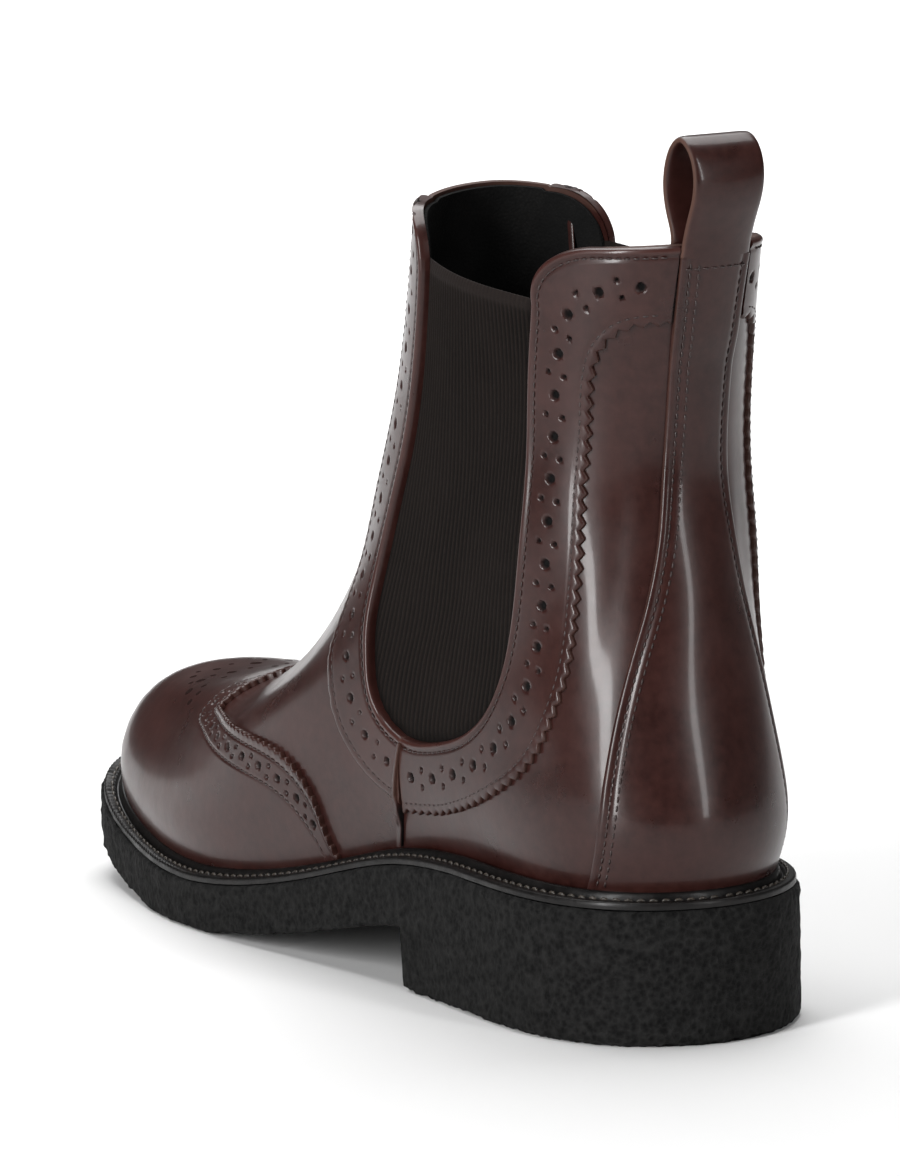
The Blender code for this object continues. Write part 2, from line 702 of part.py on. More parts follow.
def gore_border():
    """The line a rim's width outside the gore's notch, as (round, up) on the inner side, with the
    collar's corners, and the index range of its U."""
    front_arc, outline, back_arc = notch_outline(GORE_RIM)
    points = np.concatenate([front_arc, outline, back_arc])
    guess_round = np.interp(points[:, 0], (place(0.1), place(0.36)), (0.13, 0.27))
    guess_up = np.interp(points[:, 1], (HEEL_HEIGHT + 0.12 * UPPER_HEIGHT, HEEL_HEIGHT + UPPER_HEIGHT), (2.0, 11.0))
    round_, up = find_on_last(points, "yz", guess_round, guess_up)
    return np.stack([round_, up], axis=1), len(front_arc), len(back_arc)


def build_bands(material):
    """The brogued bands round each gore: one behind it, along the collar too, and one in front."""
    rows, columns = BAND_STEPS
    border, front_count, back_count = gore_border()
    foot = front_count + int(np.argmin(border[front_count:-back_count, 1]))
    reach = seam_reach()
    rear = border[foot:]
    rear = rear[rear[:, 0] < side_seam(rear[:, 1]) - reach]
    collar_up = rear[-1, 1]
    strap, strap_up = QUARTER_BAND_EDGE[-1]
    shift = rounds_at(np.array([collar_up]), np.array([STRAP_SHIFT]))[0]
    front = border[:foot + 1][::-1]
    front = front[front[:, 0] > side_seam(front[:, 1]) + reach]
    straight = front[:len(front) - front_count]
    top = len(LAST_ROWS) - 1
    straight = np.concatenate([straight, [(straight[-1, 0] - 0.004, front[-1, 1])]])
    edge_round, edge_up = slide_on_last(straight[:, 0], straight[:, 1], np.full(len(straight), -FACING_WIDTH))
    facing_edge = np.stack([edge_round, np.minimum(edge_up, top - 0.08)], axis=1)
    facing_edge = facing_edge[facing_edge[:, 0] > side_seam(facing_edge[:, 1]) + reach]
    front, facing_edge = resample(front, columns), resample(facing_edge, columns)
    for side, word in ((1, "inner"), (-1, "outer")):
        end = strap + side * shift
        rim = np.concatenate([rear, [((rear[-1, 0] + end) / 2, collar_up), (end, collar_up)]])
        rear_edge = smooth_line(QUARTER_BAND_EDGE[:-1] + ((end, strap_up),), columns)
        plate_between("quarter_band_" + word, resample(rim, columns), rear_edge, rows, side, material)
        plate_between("facing_band_" + word, front, facing_edge, rows, side, material)


def build_side_seams(material):
    """The short pieces that cover the side seams, from the welt up to the gores."""
    border, front_count, back_count = gore_border()
    top = border[front_count:-back_count, 1].min() - 0.02
    for side, word in ((1, "inner"), (-1, "outer")):
        ups = np.linspace(rows_over_sole(side_seam(0.4), WELT_BEAD + FOOT_GAP), top, 7)
        half = SEAM_WIDTH / 2 / (math.pi * LAST_LENGTH)
        low = np.stack([side_seam(ups) - half, ups], axis=1)
        high = np.stack([side_seam(ups) + half, ups], axis=1)
        plate_between("side_seam_" + word, low, high, 3, side, material)


def rounds_at(up, reach):
    """Rounds of points at distances from the heel's back along the ring, one for each pair."""
    fine = np.linspace(0, 0.2, 80)
    found = []
    for one_up, one_reach in zip(up, reach):
        ring = last_point(fine, np.full(len(fine), one_up))
        run = np.r_[0, np.cumsum(np.linalg.norm(np.diff(ring, axis=0), axis=1))]
        found.append(np.interp(one_reach, run, fine))
    return np.array(found)


def row_at_height(z):
    """Row of the last whose heel back lies at the height z."""
    rows = np.linspace(0, len(LAST_ROWS) - 1, 200)
    return np.interp(z, last_point(0 * rows, rows)[:, 2], rows)


def build_back_strap(material):
    """The strap up the back, widening to a counter at its foot. The loop carries on from its top."""
    bottom = rows_over_sole(0.0, WELT_BEAD + FOOT_GAP)
    top = row_at_height(collar_height(place(LAST_ROWS[-1][2])) - LOOP_JOINT - GAP)
    ups = np.linspace(bottom, top, 15)
    table = np.asarray(STRAP_EDGE)
    half = spline_weights(table[:, 0], ups) @ table[:, 1] * STRAP_FOOT_WIDTH
    edge = rounds_at(ups, half)
    shift = rounds_at(ups, STRAP_SHIFT * np.clip((ups - STRAP_EDGE[2][0]) / 3.0, 0, 1))
    shares = np.linspace(-1, 1, 9)
    rounds = edge[None, :] * shares[:, None] + shift[None, :]
    levels = np.broadcast_to(ups[None, :], rounds.shape)
    lift = np.full(rounds.shape, UNDER_LIFT)
    return plate_on_last("back_strap", rounds, levels, lift, lift + OVERLAY, material)


def build_pull_loop(material):
    """The pull loop: up from the strap's top edge, over, and down inside the collar."""
    collar = collar_height(place(LAST_ROWS[-1][2]))
    half = LOOP_THICKNESS / 2
    outer = UNDER_LIFT + OVERLAY / 2
    inner = -WALL - 1.6 * GAP - half
    wall_z = collar + np.array([-LOOP_JOINT, -LOOP_JOINT / 2, 0.0])
    tail_z = collar - np.linspace(0.0, LOOP_TAIL, 4)
    up = row_at_height(wall_z)
    legs = lifted(0 * up, up, np.full(3, outer))[:, 1:]
    up = row_at_height(tail_z)
    tail = lifted(0 * up, up, np.full(4, inner))[:, 1:]
    back, front = legs[-1], tail[0]
    middle = (back[0] + front[0]) / 2
    rise = LOOP_HEIGHT - half
    arch = np.array([
        (back[0] - 0.45 * LOOP_BULGE_BACK, collar + 0.24 * rise),
        (back[0] - 0.95 * LOOP_BULGE_BACK, collar + 0.50 * rise),
        (back[0] - 0.90 * LOOP_BULGE_BACK, collar + 0.74 * rise),
        (middle - 0.45 * LOOP_BULGE_BACK - half, collar + 0.95 * rise),
        (middle, collar + rise),
        (middle + 0.45 * LOOP_BULGE_FRONT + half, collar + 0.95 * rise),
        (front[0] + 0.85 * LOOP_BULGE_FRONT, collar + 0.74 * rise),
        (front[0] + 0.95 * LOOP_BULGE_FRONT, collar + 0.50 * rise),
        (front[0] + 0.45 * LOOP_BULGE_FRONT, collar + 0.24 * rise),
    ])
    path = along_path(np.concatenate([legs, arch, tail]), 28)
    ahead = np.gradient(path, axis=0)
    out = np.stack([-ahead[:, 1], ahead[:, 0]], axis=1)
    out /= np.linalg.norm(out, axis=1, keepdims=True)
    fine = np.linspace(-0.08, 0.08, 81)
    ring = last_point(fine, np.full(81, float(len(LAST_ROWS) - 1)))
    spread = np.linspace(-LOOP_WIDTH / 2, LOOP_WIDTH / 2, 5)
    bow = np.interp(spread + STRAP_SHIFT, ring[:, 0] - ring[40, 0], ring[:, 1] - ring[40, 1])
    fade = np.clip(1 - (path[:, 1] - collar) / (0.9 * LOOP_HEIGHT), 0, 1)
    middle_x = last_point(0 * path[:, 1], row_at_height(np.minimum(path[:, 1], collar)))[:, 0] + STRAP_SHIFT
    sheets = []
    for offset in (half, -half):
        line = path + out * offset
        x = middle_x[:, None] + spread[None, :]
        y = line[:, 0:1] + fade[:, None] * bow[None, :]
        z = np.broadcast_to(line[:, 1:2], x.shape)
        sheets.append(np.stack([x, y, z], axis=-1))
    return slab("pull_loop", sheets[0], sheets[1], material)


def main():
    for old in list(bpy.data.objects):
        bpy.data.objects.remove(old)
    burgundy = plain_material("polished_leather", (0.045, 0.018, 0.016), 0.28)
    elastic = plain_material("elastic", (0.010, 0.009, 0.008), 0.85)
    rubber = plain_material("crepe_rubber", (0.008, 0.008, 0.008), 0.75)
    welting = plain_material("welt_leather", (0.010, 0.008, 0.008), 0.35)
    lining = plain_material("insole_board", (0.012, 0.012, 0.012), 0.9)
    build_outsole(rubber)
    build_welt(welting)
    build_insole(lining)
    build_upper(burgundy)
    build_gores(elastic)
    build_wing_cap(burgundy)
    build_bands(burgundy)
    build_side_seams(burgundy)
    build_back_strap(burgundy)
    build_pull_loop(burgundy)


main()
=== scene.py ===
"""Flat ankle boot, left foot: burgundy brogued leather, elastic side gores and a crepe sole, standing
empty on a pale floor. The pieces come in the order in which a shoemaker puts them together.
"""
import math

import bpy
import numpy as np
from mathutils import Matrix, Vector


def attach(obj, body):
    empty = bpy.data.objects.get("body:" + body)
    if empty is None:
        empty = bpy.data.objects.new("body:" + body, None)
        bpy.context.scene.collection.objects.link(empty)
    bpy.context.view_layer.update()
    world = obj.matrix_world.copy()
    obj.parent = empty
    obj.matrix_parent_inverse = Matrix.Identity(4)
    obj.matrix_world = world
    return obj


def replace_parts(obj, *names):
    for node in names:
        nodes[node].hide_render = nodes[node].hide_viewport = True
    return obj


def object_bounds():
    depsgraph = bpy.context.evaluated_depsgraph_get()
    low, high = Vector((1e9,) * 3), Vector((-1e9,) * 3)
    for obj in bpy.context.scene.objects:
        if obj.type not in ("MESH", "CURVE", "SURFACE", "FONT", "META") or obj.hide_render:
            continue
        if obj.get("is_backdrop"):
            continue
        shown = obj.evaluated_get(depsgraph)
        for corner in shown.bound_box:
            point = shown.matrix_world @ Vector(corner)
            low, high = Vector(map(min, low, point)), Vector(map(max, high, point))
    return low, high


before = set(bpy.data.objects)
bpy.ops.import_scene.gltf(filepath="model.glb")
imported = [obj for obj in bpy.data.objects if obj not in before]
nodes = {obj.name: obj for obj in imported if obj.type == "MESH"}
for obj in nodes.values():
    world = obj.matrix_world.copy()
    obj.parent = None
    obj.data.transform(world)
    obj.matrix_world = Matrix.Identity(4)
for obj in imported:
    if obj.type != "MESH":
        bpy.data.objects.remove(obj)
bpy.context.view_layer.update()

MM = 0.001


# Insole
# The insole is a board of pressed fibre with a thin black textile sock glued on it. It goes on the
# last first, and everything else is pulled over it or sewn to it.

def new_material(name, roughness, **sockets):
    """A Principled material with its even values set on the shader's own sockets."""
    material = bpy.data.materials.new(name)
    material.use_nodes = True
    tree = material.node_tree
    shader = tree.nodes["Principled BSDF"]
    shader.inputs["Roughness"].default_value = roughness
    for socket, value in sockets.items():
        shader.inputs[socket.replace("_", " ")].default_value = value
    return material, tree, shader


def object_place(tree):
    """The place on the boot, in metres."""
    return tree.nodes.new("ShaderNodeTexCoord").outputs["Object"]


def noise(tree, place, scale, detail=3.0, rough=0.55):
    """Soft random cloud with about scale lumps in a metre."""
    made = tree.nodes.new("ShaderNodeTexNoise")
    tree.links.new(place, made.inputs["Vector"])
    made.inputs["Scale"].default_value = scale
    made.inputs["Detail"].default_value = detail
    made.inputs["Roughness"].default_value = rough
    return made.outputs["Fac"]


def cells(tree, place, scale, feature="F1"):
    """Distance from the nearest of about scale random points in a metre."""
    made = tree.nodes.new("ShaderNodeTexVoronoi")
    made.feature = feature
    tree.links.new(place, made.inputs["Vector"])
    made.inputs["Scale"].default_value = scale
    return made.outputs["Distance"]


def mark(tree, name):
    """A value painted on the piece's own points."""
    made = tree.nodes.new("ShaderNodeAttribute")
    made.attribute_name = name
    return made.outputs["Fac"]


def spread(tree, value, low, high, out_low, out_high):
    """The value's range low to high laid over out_low to out_high, and held at both ends."""
    made = tree.nodes.new("ShaderNodeMapRange")
    tree.links.new(value, made.inputs["Value"])
    for socket, number in (("From Min", low), ("From Max", high), ("To Min", out_low), ("To Max", out_high)):
        made.inputs[socket].default_value = number
    return made.outputs["Result"]


def reckon(tree, operation, a, b):
    """Two values joined by a sum, product or the like."""
    made = tree.nodes.new("ShaderNodeMath")
    made.operation = operation
    for socket, value in zip(made.inputs, (a, b)):
        if isinstance(value, (int, float)):
            socket.default_value = value
        else:
            tree.links.new(value, socket)
    return made.outputs["Value"]


def times(tree, a, b):
    """The product of two values."""
    return reckon(tree, "MULTIPLY", a, b)


def blend_colours(tree, share, first, second):
    """From the first colour to the second as the share goes from 0 to 1."""
    made = tree.nodes.new("ShaderNodeMix")
    made.data_type = "RGBA"
    tree.links.new(share, made.inputs["Factor"])
    for socket, colour in ((made.inputs[6], first), (made.inputs[7], second)):
        if isinstance(colour, tuple):
            socket.default_value = (*colour, 1)
        else:
            tree.links.new(colour, socket)
    return made.outputs[2]


def raised(tree, height, depth, normal=None, strength=1.0):
    """Small relief of the given depth in metres, on top of another relief."""
    made = tree.nodes.new("ShaderNodeBump")
    made.inputs["Strength"].default_value = strength
    made.inputs["Distance"].default_value = depth
    tree.links.new(height, made.inputs["Height"])
    if normal is not None:
        tree.links.new(normal, made.inputs["Normal"])
    return made.outputs["Normal"]


def clouds(tree, place, scale, detail, rough, low, high, out_low=0.0, out_high=1.0):
    """Soft random patches: a noise whose range low to high is laid over out_low to out_high."""
    return spread(tree, noise(tree, place, scale, detail, rough), low, high, out_low, out_high)


def lead(tree, shader, **values):
    """Leads values to the shader's sockets of the same names."""
    for socket, value in values.items():
        tree.links.new(value, shader.inputs[socket.replace("_", " ")])


def textile(name, dark, light):
    """Black lining cloth: a fine plain weave of two crossing threads, slightly worn."""
    material, tree, shader = new_material(name, 0.9, Specular_IOR_Level=0.15)
    place = object_place(tree)
    wear = clouds(tree, place, 90, 4, 0.55, 0.35, 0.7)
    threads = cells(tree, place, 1500)
    shade = times(tree, wear, spread(tree, threads, 0.0, 0.6, 1.0, 0.3))
    base = blend_colours(tree, shade, dark, light)
    lead(tree, shader, Base_Color=base, Normal=raised(tree, threads, 0.15 * MM))
    return material


lining_cloth = textile("black_lining_cloth", (0.003, 0.003, 0.003), (0.012, 0.0115, 0.011))
insole = nodes["insole"]
insole.data.materials.clear()
insole.data.materials.append(lining_cloth)


# Upper
# Vamp and quarters are burgundy calf leather about 1.2 mm thick, polished dark, closed into one wall,
# pulled over the last and drawn in under the insole. The notches for the gores are cut into the sides.

# The last, as in the part's source. Each ring, from the feather line to the collar, has the place and rise
# of its front and its back, how far it follows the sole, its lean, slimness and sag, and seven half widths.
LAST_LENGTH, BALL_WIDTH, UPPER_HEIGHT = 262 * MM, 84 * MM, 166 * MM
HEEL_SEAT_BACK, HEEL_HEIGHT, SOLE_THICKNESS = -36 * MM, 33 * MM, 12 * MM
TOE_SPRING, WAIST_LIFT = 17 * MM, 17 * MM
WIDTH_STATIONS = np.array([0.0, 0.14, 0.34, 0.55, 0.73, 0.90, 1.0])
LAST_ROWS = np.array([
    (0.992, 0.000, -0.015, 0.000, 1.00, 0.000, 0.00, 0.000, 0.325, 0.345, 0.315, 0.375, 0.444, 0.351, 0.370),
    (0.992, 0.053, -0.031, 0.060, 1.00, 0.000, 0.00, 0.000, 0.354, 0.377, 0.351, 0.410, 0.486, 0.389, 0.387),
    (0.980, 0.117, -0.034, 0.120, 1.00, 0.000, 0.00, 0.000, 0.370, 0.390, 0.376, 0.428, 0.490, 0.383, 0.378),
    (0.946, 0.177, -0.026, 0.187, 1.00, 0.001, 0.00, 0.000, 0.371, 0.383, 0.388, 0.434, 0.465, 0.345, 0.356),
    (0.885, 0.220, -0.013, 0.265, 0.95, 0.003, 0.00, 0.000, 0.359, 0.371, 0.388, 0.428, 0.435, 0.314, 0.330),
    (0.765, 0.249, -0.001, 0.349, 0.85, 0.008, 0.00, 0.000, 0.334, 0.352, 0.381, 0.409, 0.401, 0.290, 0.300),
    (0.650, 0.293, 0.009, 0.434, 0.70, 0.015, 0.05, 0.000, 0.297, 0.340, 0.374, 0.391, 0.367, 0.256, 0.278),
    (0.551, 0.389, 0.017, 0.518, 0.50, 0.020, 0.14, 0.000, 0.282, 0.330, 0.372, 0.379, 0.345, 0.242, 0.270),
    (0.493, 0.503, 0.024, 0.600, 0.30, 0.025, 0.27, 0.000, 0.272, 0.318, 0.369, 0.378, 0.342, 0.243, 0.275),
    (0.450, 0.623, 0.023, 0.686, 0.15, 0.030, 0.42, 0.004, 0.271, 0.303, 0.370, 0.389, 0.349, 0.249, 0.291),
    (0.413, 0.768, 0.013, 0.798, 0.00, 0.033, 0.58, 0.011, 0.289, 0.294, 0.383, 0.412, 0.367, 0.261, 0.320),
    (0.374, 0.976, -0.010, 0.947, 0.00, 0.036, 0.72, 0.021, 0.307, 0.272, 0.413, 0.449, 0.409, 0.287, 0.349),
])
SWING = ((0.0, 0.02), (0.20, 0.015), (0.45, -0.02), (0.70, 0.02), (0.88, 0.035), (1.0, 0.03))
SOLE_LINE = ((-0.05, 1.0, 0.0), (0.22, 1.0, 0.0), (0.34, 0.86, 0.0), (0.46, 0.47, 0.0), (0.58, 0.13, 0.0),
             (0.68, 0.0, 0.0), (0.78, 0.0, 0.05), (0.88, 0.0, 0.26), (0.96, 0.0, 0.62), (1.04, 0.0, 1.0))
TOP_ROW = 11.0
STAND_OFF = 0.3 * MM
LEATHER_THICKNESS, LEATHER_COLUMNS, LEATHER_ROWS, NOTCH_ROOM = 1.15 * MM, 264, 92, 0.4 * MM


def spline_weights(knots, x):
    """Weights of a natural cubic spline through the knots, one row of weights for each x."""
    knots, x = np.asarray(knots, float), np.asarray(x, float)
    count, step = len(knots), np.diff(knots)
    inner = np.arange(1, count - 1)
    bend, pull = np.zeros((count, count)), np.zeros((count, count))
    bend[0, 0] = bend[-1, -1] = 1.0
    bend[inner, inner - 1], bend[inner, inner + 1] = step[:-1], step[1:]
    bend[inner, inner] = 2 * (step[:-1] + step[1:])
    pull[inner, inner - 1], pull[inner, inner + 1] = 6 / step[:-1], 6 / step[1:]
    pull[inner, inner] = -6 / step[:-1] - 6 / step[1:]
    curve = np.linalg.solve(bend, pull)
    cell = np.clip(np.searchsorted(knots, x, side="right") - 1, 0, count - 2)
    width = step[cell]
    b = (x - knots[cell]) / width
    a, rows = 1 - b, np.arange(len(x))
    weights = np.zeros((len(x), count))
    weights[rows, cell] += a
    weights[rows, cell + 1] += b
    weights += ((a ** 3 - a) * width ** 2 / 6)[:, None] * curve[cell]
    weights += ((b ** 3 - b) * width ** 2 / 6)[:, None] * curve[cell + 1]
    return weights


def spline_table(table, x):
    """Columns of a table read at x, where the table's first column is the place of each row."""
    table = np.asarray(table, float)
    shape = np.shape(x)
    x = np.clip(np.ravel(x), table[0, 0], table[-1, 0])
    return (spline_weights(table[:, 0], x) @ table[:, 1:]).reshape(shape + (-1,))


def station(y):
    """Share of the last's length at the place y."""
    return (np.asarray(y, float) - HEEL_SEAT_BACK) / LAST_LENGTH


def sole_top(y):
    """Height of the sole's upper face: the tread's thickness, the drop from the heel and the toe spring."""
    share = np.clip(spline_table(SOLE_LINE, station(y)), 0, 1)
    return SOLE_THICKNESS + share[..., 0] * (HEEL_HEIGHT - SOLE_THICKNESS) + share[..., 1] * TOE_SPRING


def last_point(turn, row):
    """Points of the last: turn goes once round from the heel's back over the inner side, and row climbs
    from the feather line to the collar. Each ring is an oval whose half width is read from its row."""
    turn, row = np.broadcast_arrays(np.asarray(turn, float), np.asarray(row, float))
    shape, angle = turn.shape, 2 * math.pi * turn.ravel()
    ring = spline_weights(np.arange(len(LAST_ROWS)), np.clip(row.ravel(), 0, TOP_ROW)) @ LAST_ROWS
    front, front_rise, back, back_rise, follow, lean, slim, sag = ring[:, :8].T
    share = (1 - np.cos(angle)) / 2
    length = (front - back) * LAST_LENGTH
    half = ring[:, 8:] * BALL_WIDTH
    half[:, 1:-1] /= 2 * np.sqrt(WIDTH_STATIONS[1:-1] * (1 - WIDTH_STATIONS[1:-1]))
    half[:, 0] = np.sqrt(half[:, 0] * length / 2)
    half[:, -1] = np.sqrt(half[:, -1] * length / 2)
    fullness = (spline_weights(WIDTH_STATIONS, share) * half).sum(axis=1)
    fullness *= 1 - np.where(np.sin(angle) > 0, slim * share * (1 - 0.6 * share ** 4), 0)
    y = HEEL_SEAT_BACK + back * LAST_LENGTH + share * length
    x = BALL_WIDTH * (spline_table(SWING, station(y))[:, 0] + lean) + np.sin(angle) * fullness
    rise = UPPER_HEIGHT * (back_rise + (front_rise - back_rise) * share - sag * np.sin(math.pi * share))
    z = follow * sole_top(y) + (1 - follow) * HEEL_HEIGHT + rise + STAND_OFF
    return np.stack([x, y, z], axis=-1).reshape(shape + (3,))


def last_slopes(turn, row):
    """How the last's points move with turn and with row, by small differences."""
    tiny = 1e-4
    low, high = np.clip(row - tiny, 0, TOP_ROW), np.clip(row + tiny, 0, TOP_ROW)
    along = (last_point(turn + tiny, row) - last_point(turn - tiny, row)) / (2 * tiny)
    rising = (last_point(turn, high) - last_point(turn, low)) / (high - low)[..., None]
    return along, rising


def unit(vectors):
    """The same directions with a length of one."""
    return vectors / np.maximum(np.linalg.norm(vectors, axis=-1, keepdims=True), 1e-12)


def last_normal(turn, row):
    """Outward direction of the last."""
    turn, row = np.broadcast_arrays(np.asarray(turn, float), np.asarray(row, float))
    return unit(np.cross(*last_slopes(turn, row)))


# Soft troughs of the worn-in leather: turn and row of the middle, half length in turns and in rows,
# slant in turns for each row, and depth in millimetres
TROUGHS = np.array([
    (0.930, 7.0, 0.012, 2.6, 0.001, 0.35), (0.885, 3.2, 0.020, 1.1, -0.006, 0.30),
    (0.070, 6.4, 0.013, 2.4, 0.001, 0.30), (0.560, 7.2, 0.050, 0.35, 0.010, 0.35),
    (0.440, 7.4, 0.050, 0.35, -0.010, 0.35), (0.620, 5.4, 0.040, 0.45, 0.014, 0.35),
    (0.385, 5.6, 0.040, 0.45, -0.014, 0.30), (0.500, 8.6, 0.070, 0.40, 0.000, 0.30),
    (0.700, 1.9, 0.045, 0.60, 0.004, 0.25), (0.960, 3.0, 0.025, 0.9, 0.004, 0.25),
    (0.040, 2.6, 0.025, 0.9, -0.004, 0.25),
])


def relief(turn, row):
    """Depth of the troughs, each a bell over its own slanted axes, with a slow wave over the whole wall."""
    above = row[..., None] - TROUGHS[:, 1]
    across = (turn[..., None] - TROUGHS[:, 0] - TROUGHS[:, 4] * above) / TROUGHS[:, 2]
    up = above / TROUGHS[:, 3]
    dents = (TROUGHS[:, 5] * np.exp(-across ** 2 - up ** 2)).sum(axis=-1)
    angle = 2 * math.pi * turn
    wave = 0.10 * np.sin(7 * angle + 1.3 * row) + 0.07 * np.sin(11 * angle - 2.1 * row + 1.0)
    fade = np.clip(row / 2, 0, 1) * np.clip((TOP_ROW - row) / 2, 0, 1)
    return MM * fade * (wave - dents)


def lifted(turn, row, lift):
    """Points at a height over the last, measured square to it, with the leather's own relief."""
    turn, row = np.broadcast_arrays(np.asarray(turn, float), np.asarray(row, float))
    height = np.broadcast_to(np.asarray(lift, float), turn.shape) + relief(turn, row)
    return last_point(turn, row) + height[..., None] * last_normal(turn, row)


def side_view_place(targets, turn, row):
    """Turn and row where the last has the target y and z, by Newton steps."""
    turn, row = np.array(turn, float), np.array(row, float)
    for _ in range(20):
        here = last_point(turn, row)
        along, rising = last_slopes(turn, row)
        miss = targets - here[..., 1:]
        size = along[..., 1] * rising[..., 2] - rising[..., 1] * along[..., 2]
        size = np.where(np.abs(size) < 1e-9, 1e-9, size)
        turn += np.clip((miss[..., 0] * rising[..., 2] - miss[..., 1] * rising[..., 1]) / size, -0.03, 0.03)
        row += np.clip((miss[..., 1] * along[..., 1] - miss[..., 0] * along[..., 2]) / size, -1.0, 1.0)
        row = np.clip(row, 0, TOP_ROW)
    return turn, row


# The gore's U in the side view: share of the last's length forward, and share of the upper's height up
GORE_EDGE = np.array([
    (0.266, 1.020), (0.277, 0.890), (0.300, 0.750), (0.325, 0.620), (0.352, 0.500), (0.369, 0.390),
    (0.369, 0.290), (0.350, 0.212), (0.312, 0.181), (0.255, 0.187), (0.203, 0.214), (0.165, 0.265),
    (0.145, 0.350), (0.132, 0.460), (0.126, 0.570), (0.124, 0.680), (0.118, 0.780), (0.107, 0.880),
    (0.098, 1.020),
])
TAB_REACH, TAB_DROP = 17 * MM, 13 * MM


def path_length(points):
    """Distance run along each column of points, from its first."""
    steps = np.linalg.norm(np.diff(points, axis=0), axis=-1)
    return np.concatenate([np.zeros((1,) + steps.shape[1:]), np.cumsum(steps, axis=0)])


def gore_outline(grow, count=120):
    """The U as a smooth curve with even steps, moved outwards by grow."""
    knots = GORE_EDGE * (LAST_LENGTH, UPPER_HEIGHT)
    reach = path_length(knots)
    fine = spline_weights(reach, np.linspace(0, reach[-1], 600)) @ knots
    run = path_length(fine)
    at = np.linspace(0, run[-1], count)
    path = np.stack([np.interp(at, run, fine[:, i]) for i in range(2)], axis=1)
    ahead = np.gradient(path, axis=0)
    side = unit(np.stack([ahead[:, 1], -ahead[:, 0]], axis=1))
    return path - side * grow + (HEEL_SEAT_BACK, HEEL_HEIGHT)


def collar_height(y):
    """Height of the collar's edge at the place y: a line from its back to its front that hangs a little."""
    front, front_rise, back, back_rise = LAST_ROWS[-1, :4]
    share = (station(y) - back) / (front - back)
    hang = LAST_ROWS[-1, 7] * np.sin(math.pi * np.clip(share, 0, 1))
    return HEEL_HEIGHT + STAND_OFF + UPPER_HEIGHT * (back_rise + (front_rise - back_rise) * share - hang)


def notch_outline(grow):
    """The notch: the U with a quarter of an ellipse at each collar corner, from the front one to the back."""
    outline = gore_outline(grow)
    outline = outline[outline[:, 1] < collar_height(outline[:, 0]) - TAB_DROP]
    arcs = []  # an arc from each corner of the collar
    for corner, toward, start, end in ((outline[0], 1, 90, 180), (outline[-1], -1, 0, 90)):
        y = corner[0] + toward * TAB_REACH
        centre = np.array([y, collar_height(y) - TAB_DROP - grow])
        angles = np.radians(np.linspace(start, end, 19))
        arcs.append(centre + np.stack([TAB_REACH * np.cos(angles), TAB_DROP * np.sin(angles)], axis=1))
    return arcs[0], outline, arcs[1]


def beside_line(points, line):
    """Distance of points from a broken line in the side view, and the nearest place on it."""
    start, run = line[:-1], np.diff(line, axis=0)
    gap = points[:, None, :] - start
    share = np.clip((gap * run).sum(-1) / (run ** 2).sum(-1), 0, 1)
    near = start + share[..., None] * run
    far = np.linalg.norm(points[:, None, :] - near, axis=-1)
    best = far.argmin(axis=1)
    rows = np.arange(len(points))
    return far[rows, best], near[rows, best]


def within(points, outline):
    """True for points inside a closed outline, by counting its edges on one side of each point."""
    a, b = outline, np.roll(outline, -1, axis=0)
    crosses = (a[:, 1] > points[:, 1:2]) != (b[:, 1] > points[:, 1:2])
    slope = (b[:, 0] - a[:, 0]) / np.where(b[:, 1] == a[:, 1], 1e-12, b[:, 1] - a[:, 1])
    left = points[:, 0:1] < a[:, 0] + slope * (points[:, 1:2] - a[:, 1])
    return (crosses & left).sum(axis=1) % 2 == 1


def notched_grid(turns, rows, grow):
    """A grid over the whole wall with the notches left out: cells wholly inside are dropped, and points
    inside that the kept cells still use move to the nearest place on the notch's edge."""
    line = np.concatenate(notch_outline(grow))
    roof = HEEL_HEIGHT + 1.1 * UPPER_HEIGHT
    closed = np.concatenate([line, [(line[-1, 0], roof), (line[0, 0], roof)]])
    flat = last_point(turns, rows)[..., 1:].reshape(-1, 2)
    inside = within(flat, closed).reshape(turns.shape)
    beside = np.roll(inside, -1, axis=1)
    keep = ~(inside[:-1] & inside[1:] & beside[:-1] & beside[1:])
    used = np.zeros_like(inside)
    for part in (used[:-1], used[1:]):
        part |= keep | np.roll(keep, 1, axis=1)
    move = (inside & used).ravel()
    _, near = beside_line(flat[move], line)
    turn, row = side_view_place(near, turns.ravel()[move], rows.ravel()[move])
    turns, rows = turns.ravel().copy(), rows.ravel().copy()
    turns[move], rows[move] = turn, row
    return turns.reshape(inside.shape), rows.reshape(inside.shape), keep


def in_one(*grids):
    """The points of several grids in one list."""
    return np.concatenate([grid.reshape(-1, 3) for grid in grids])


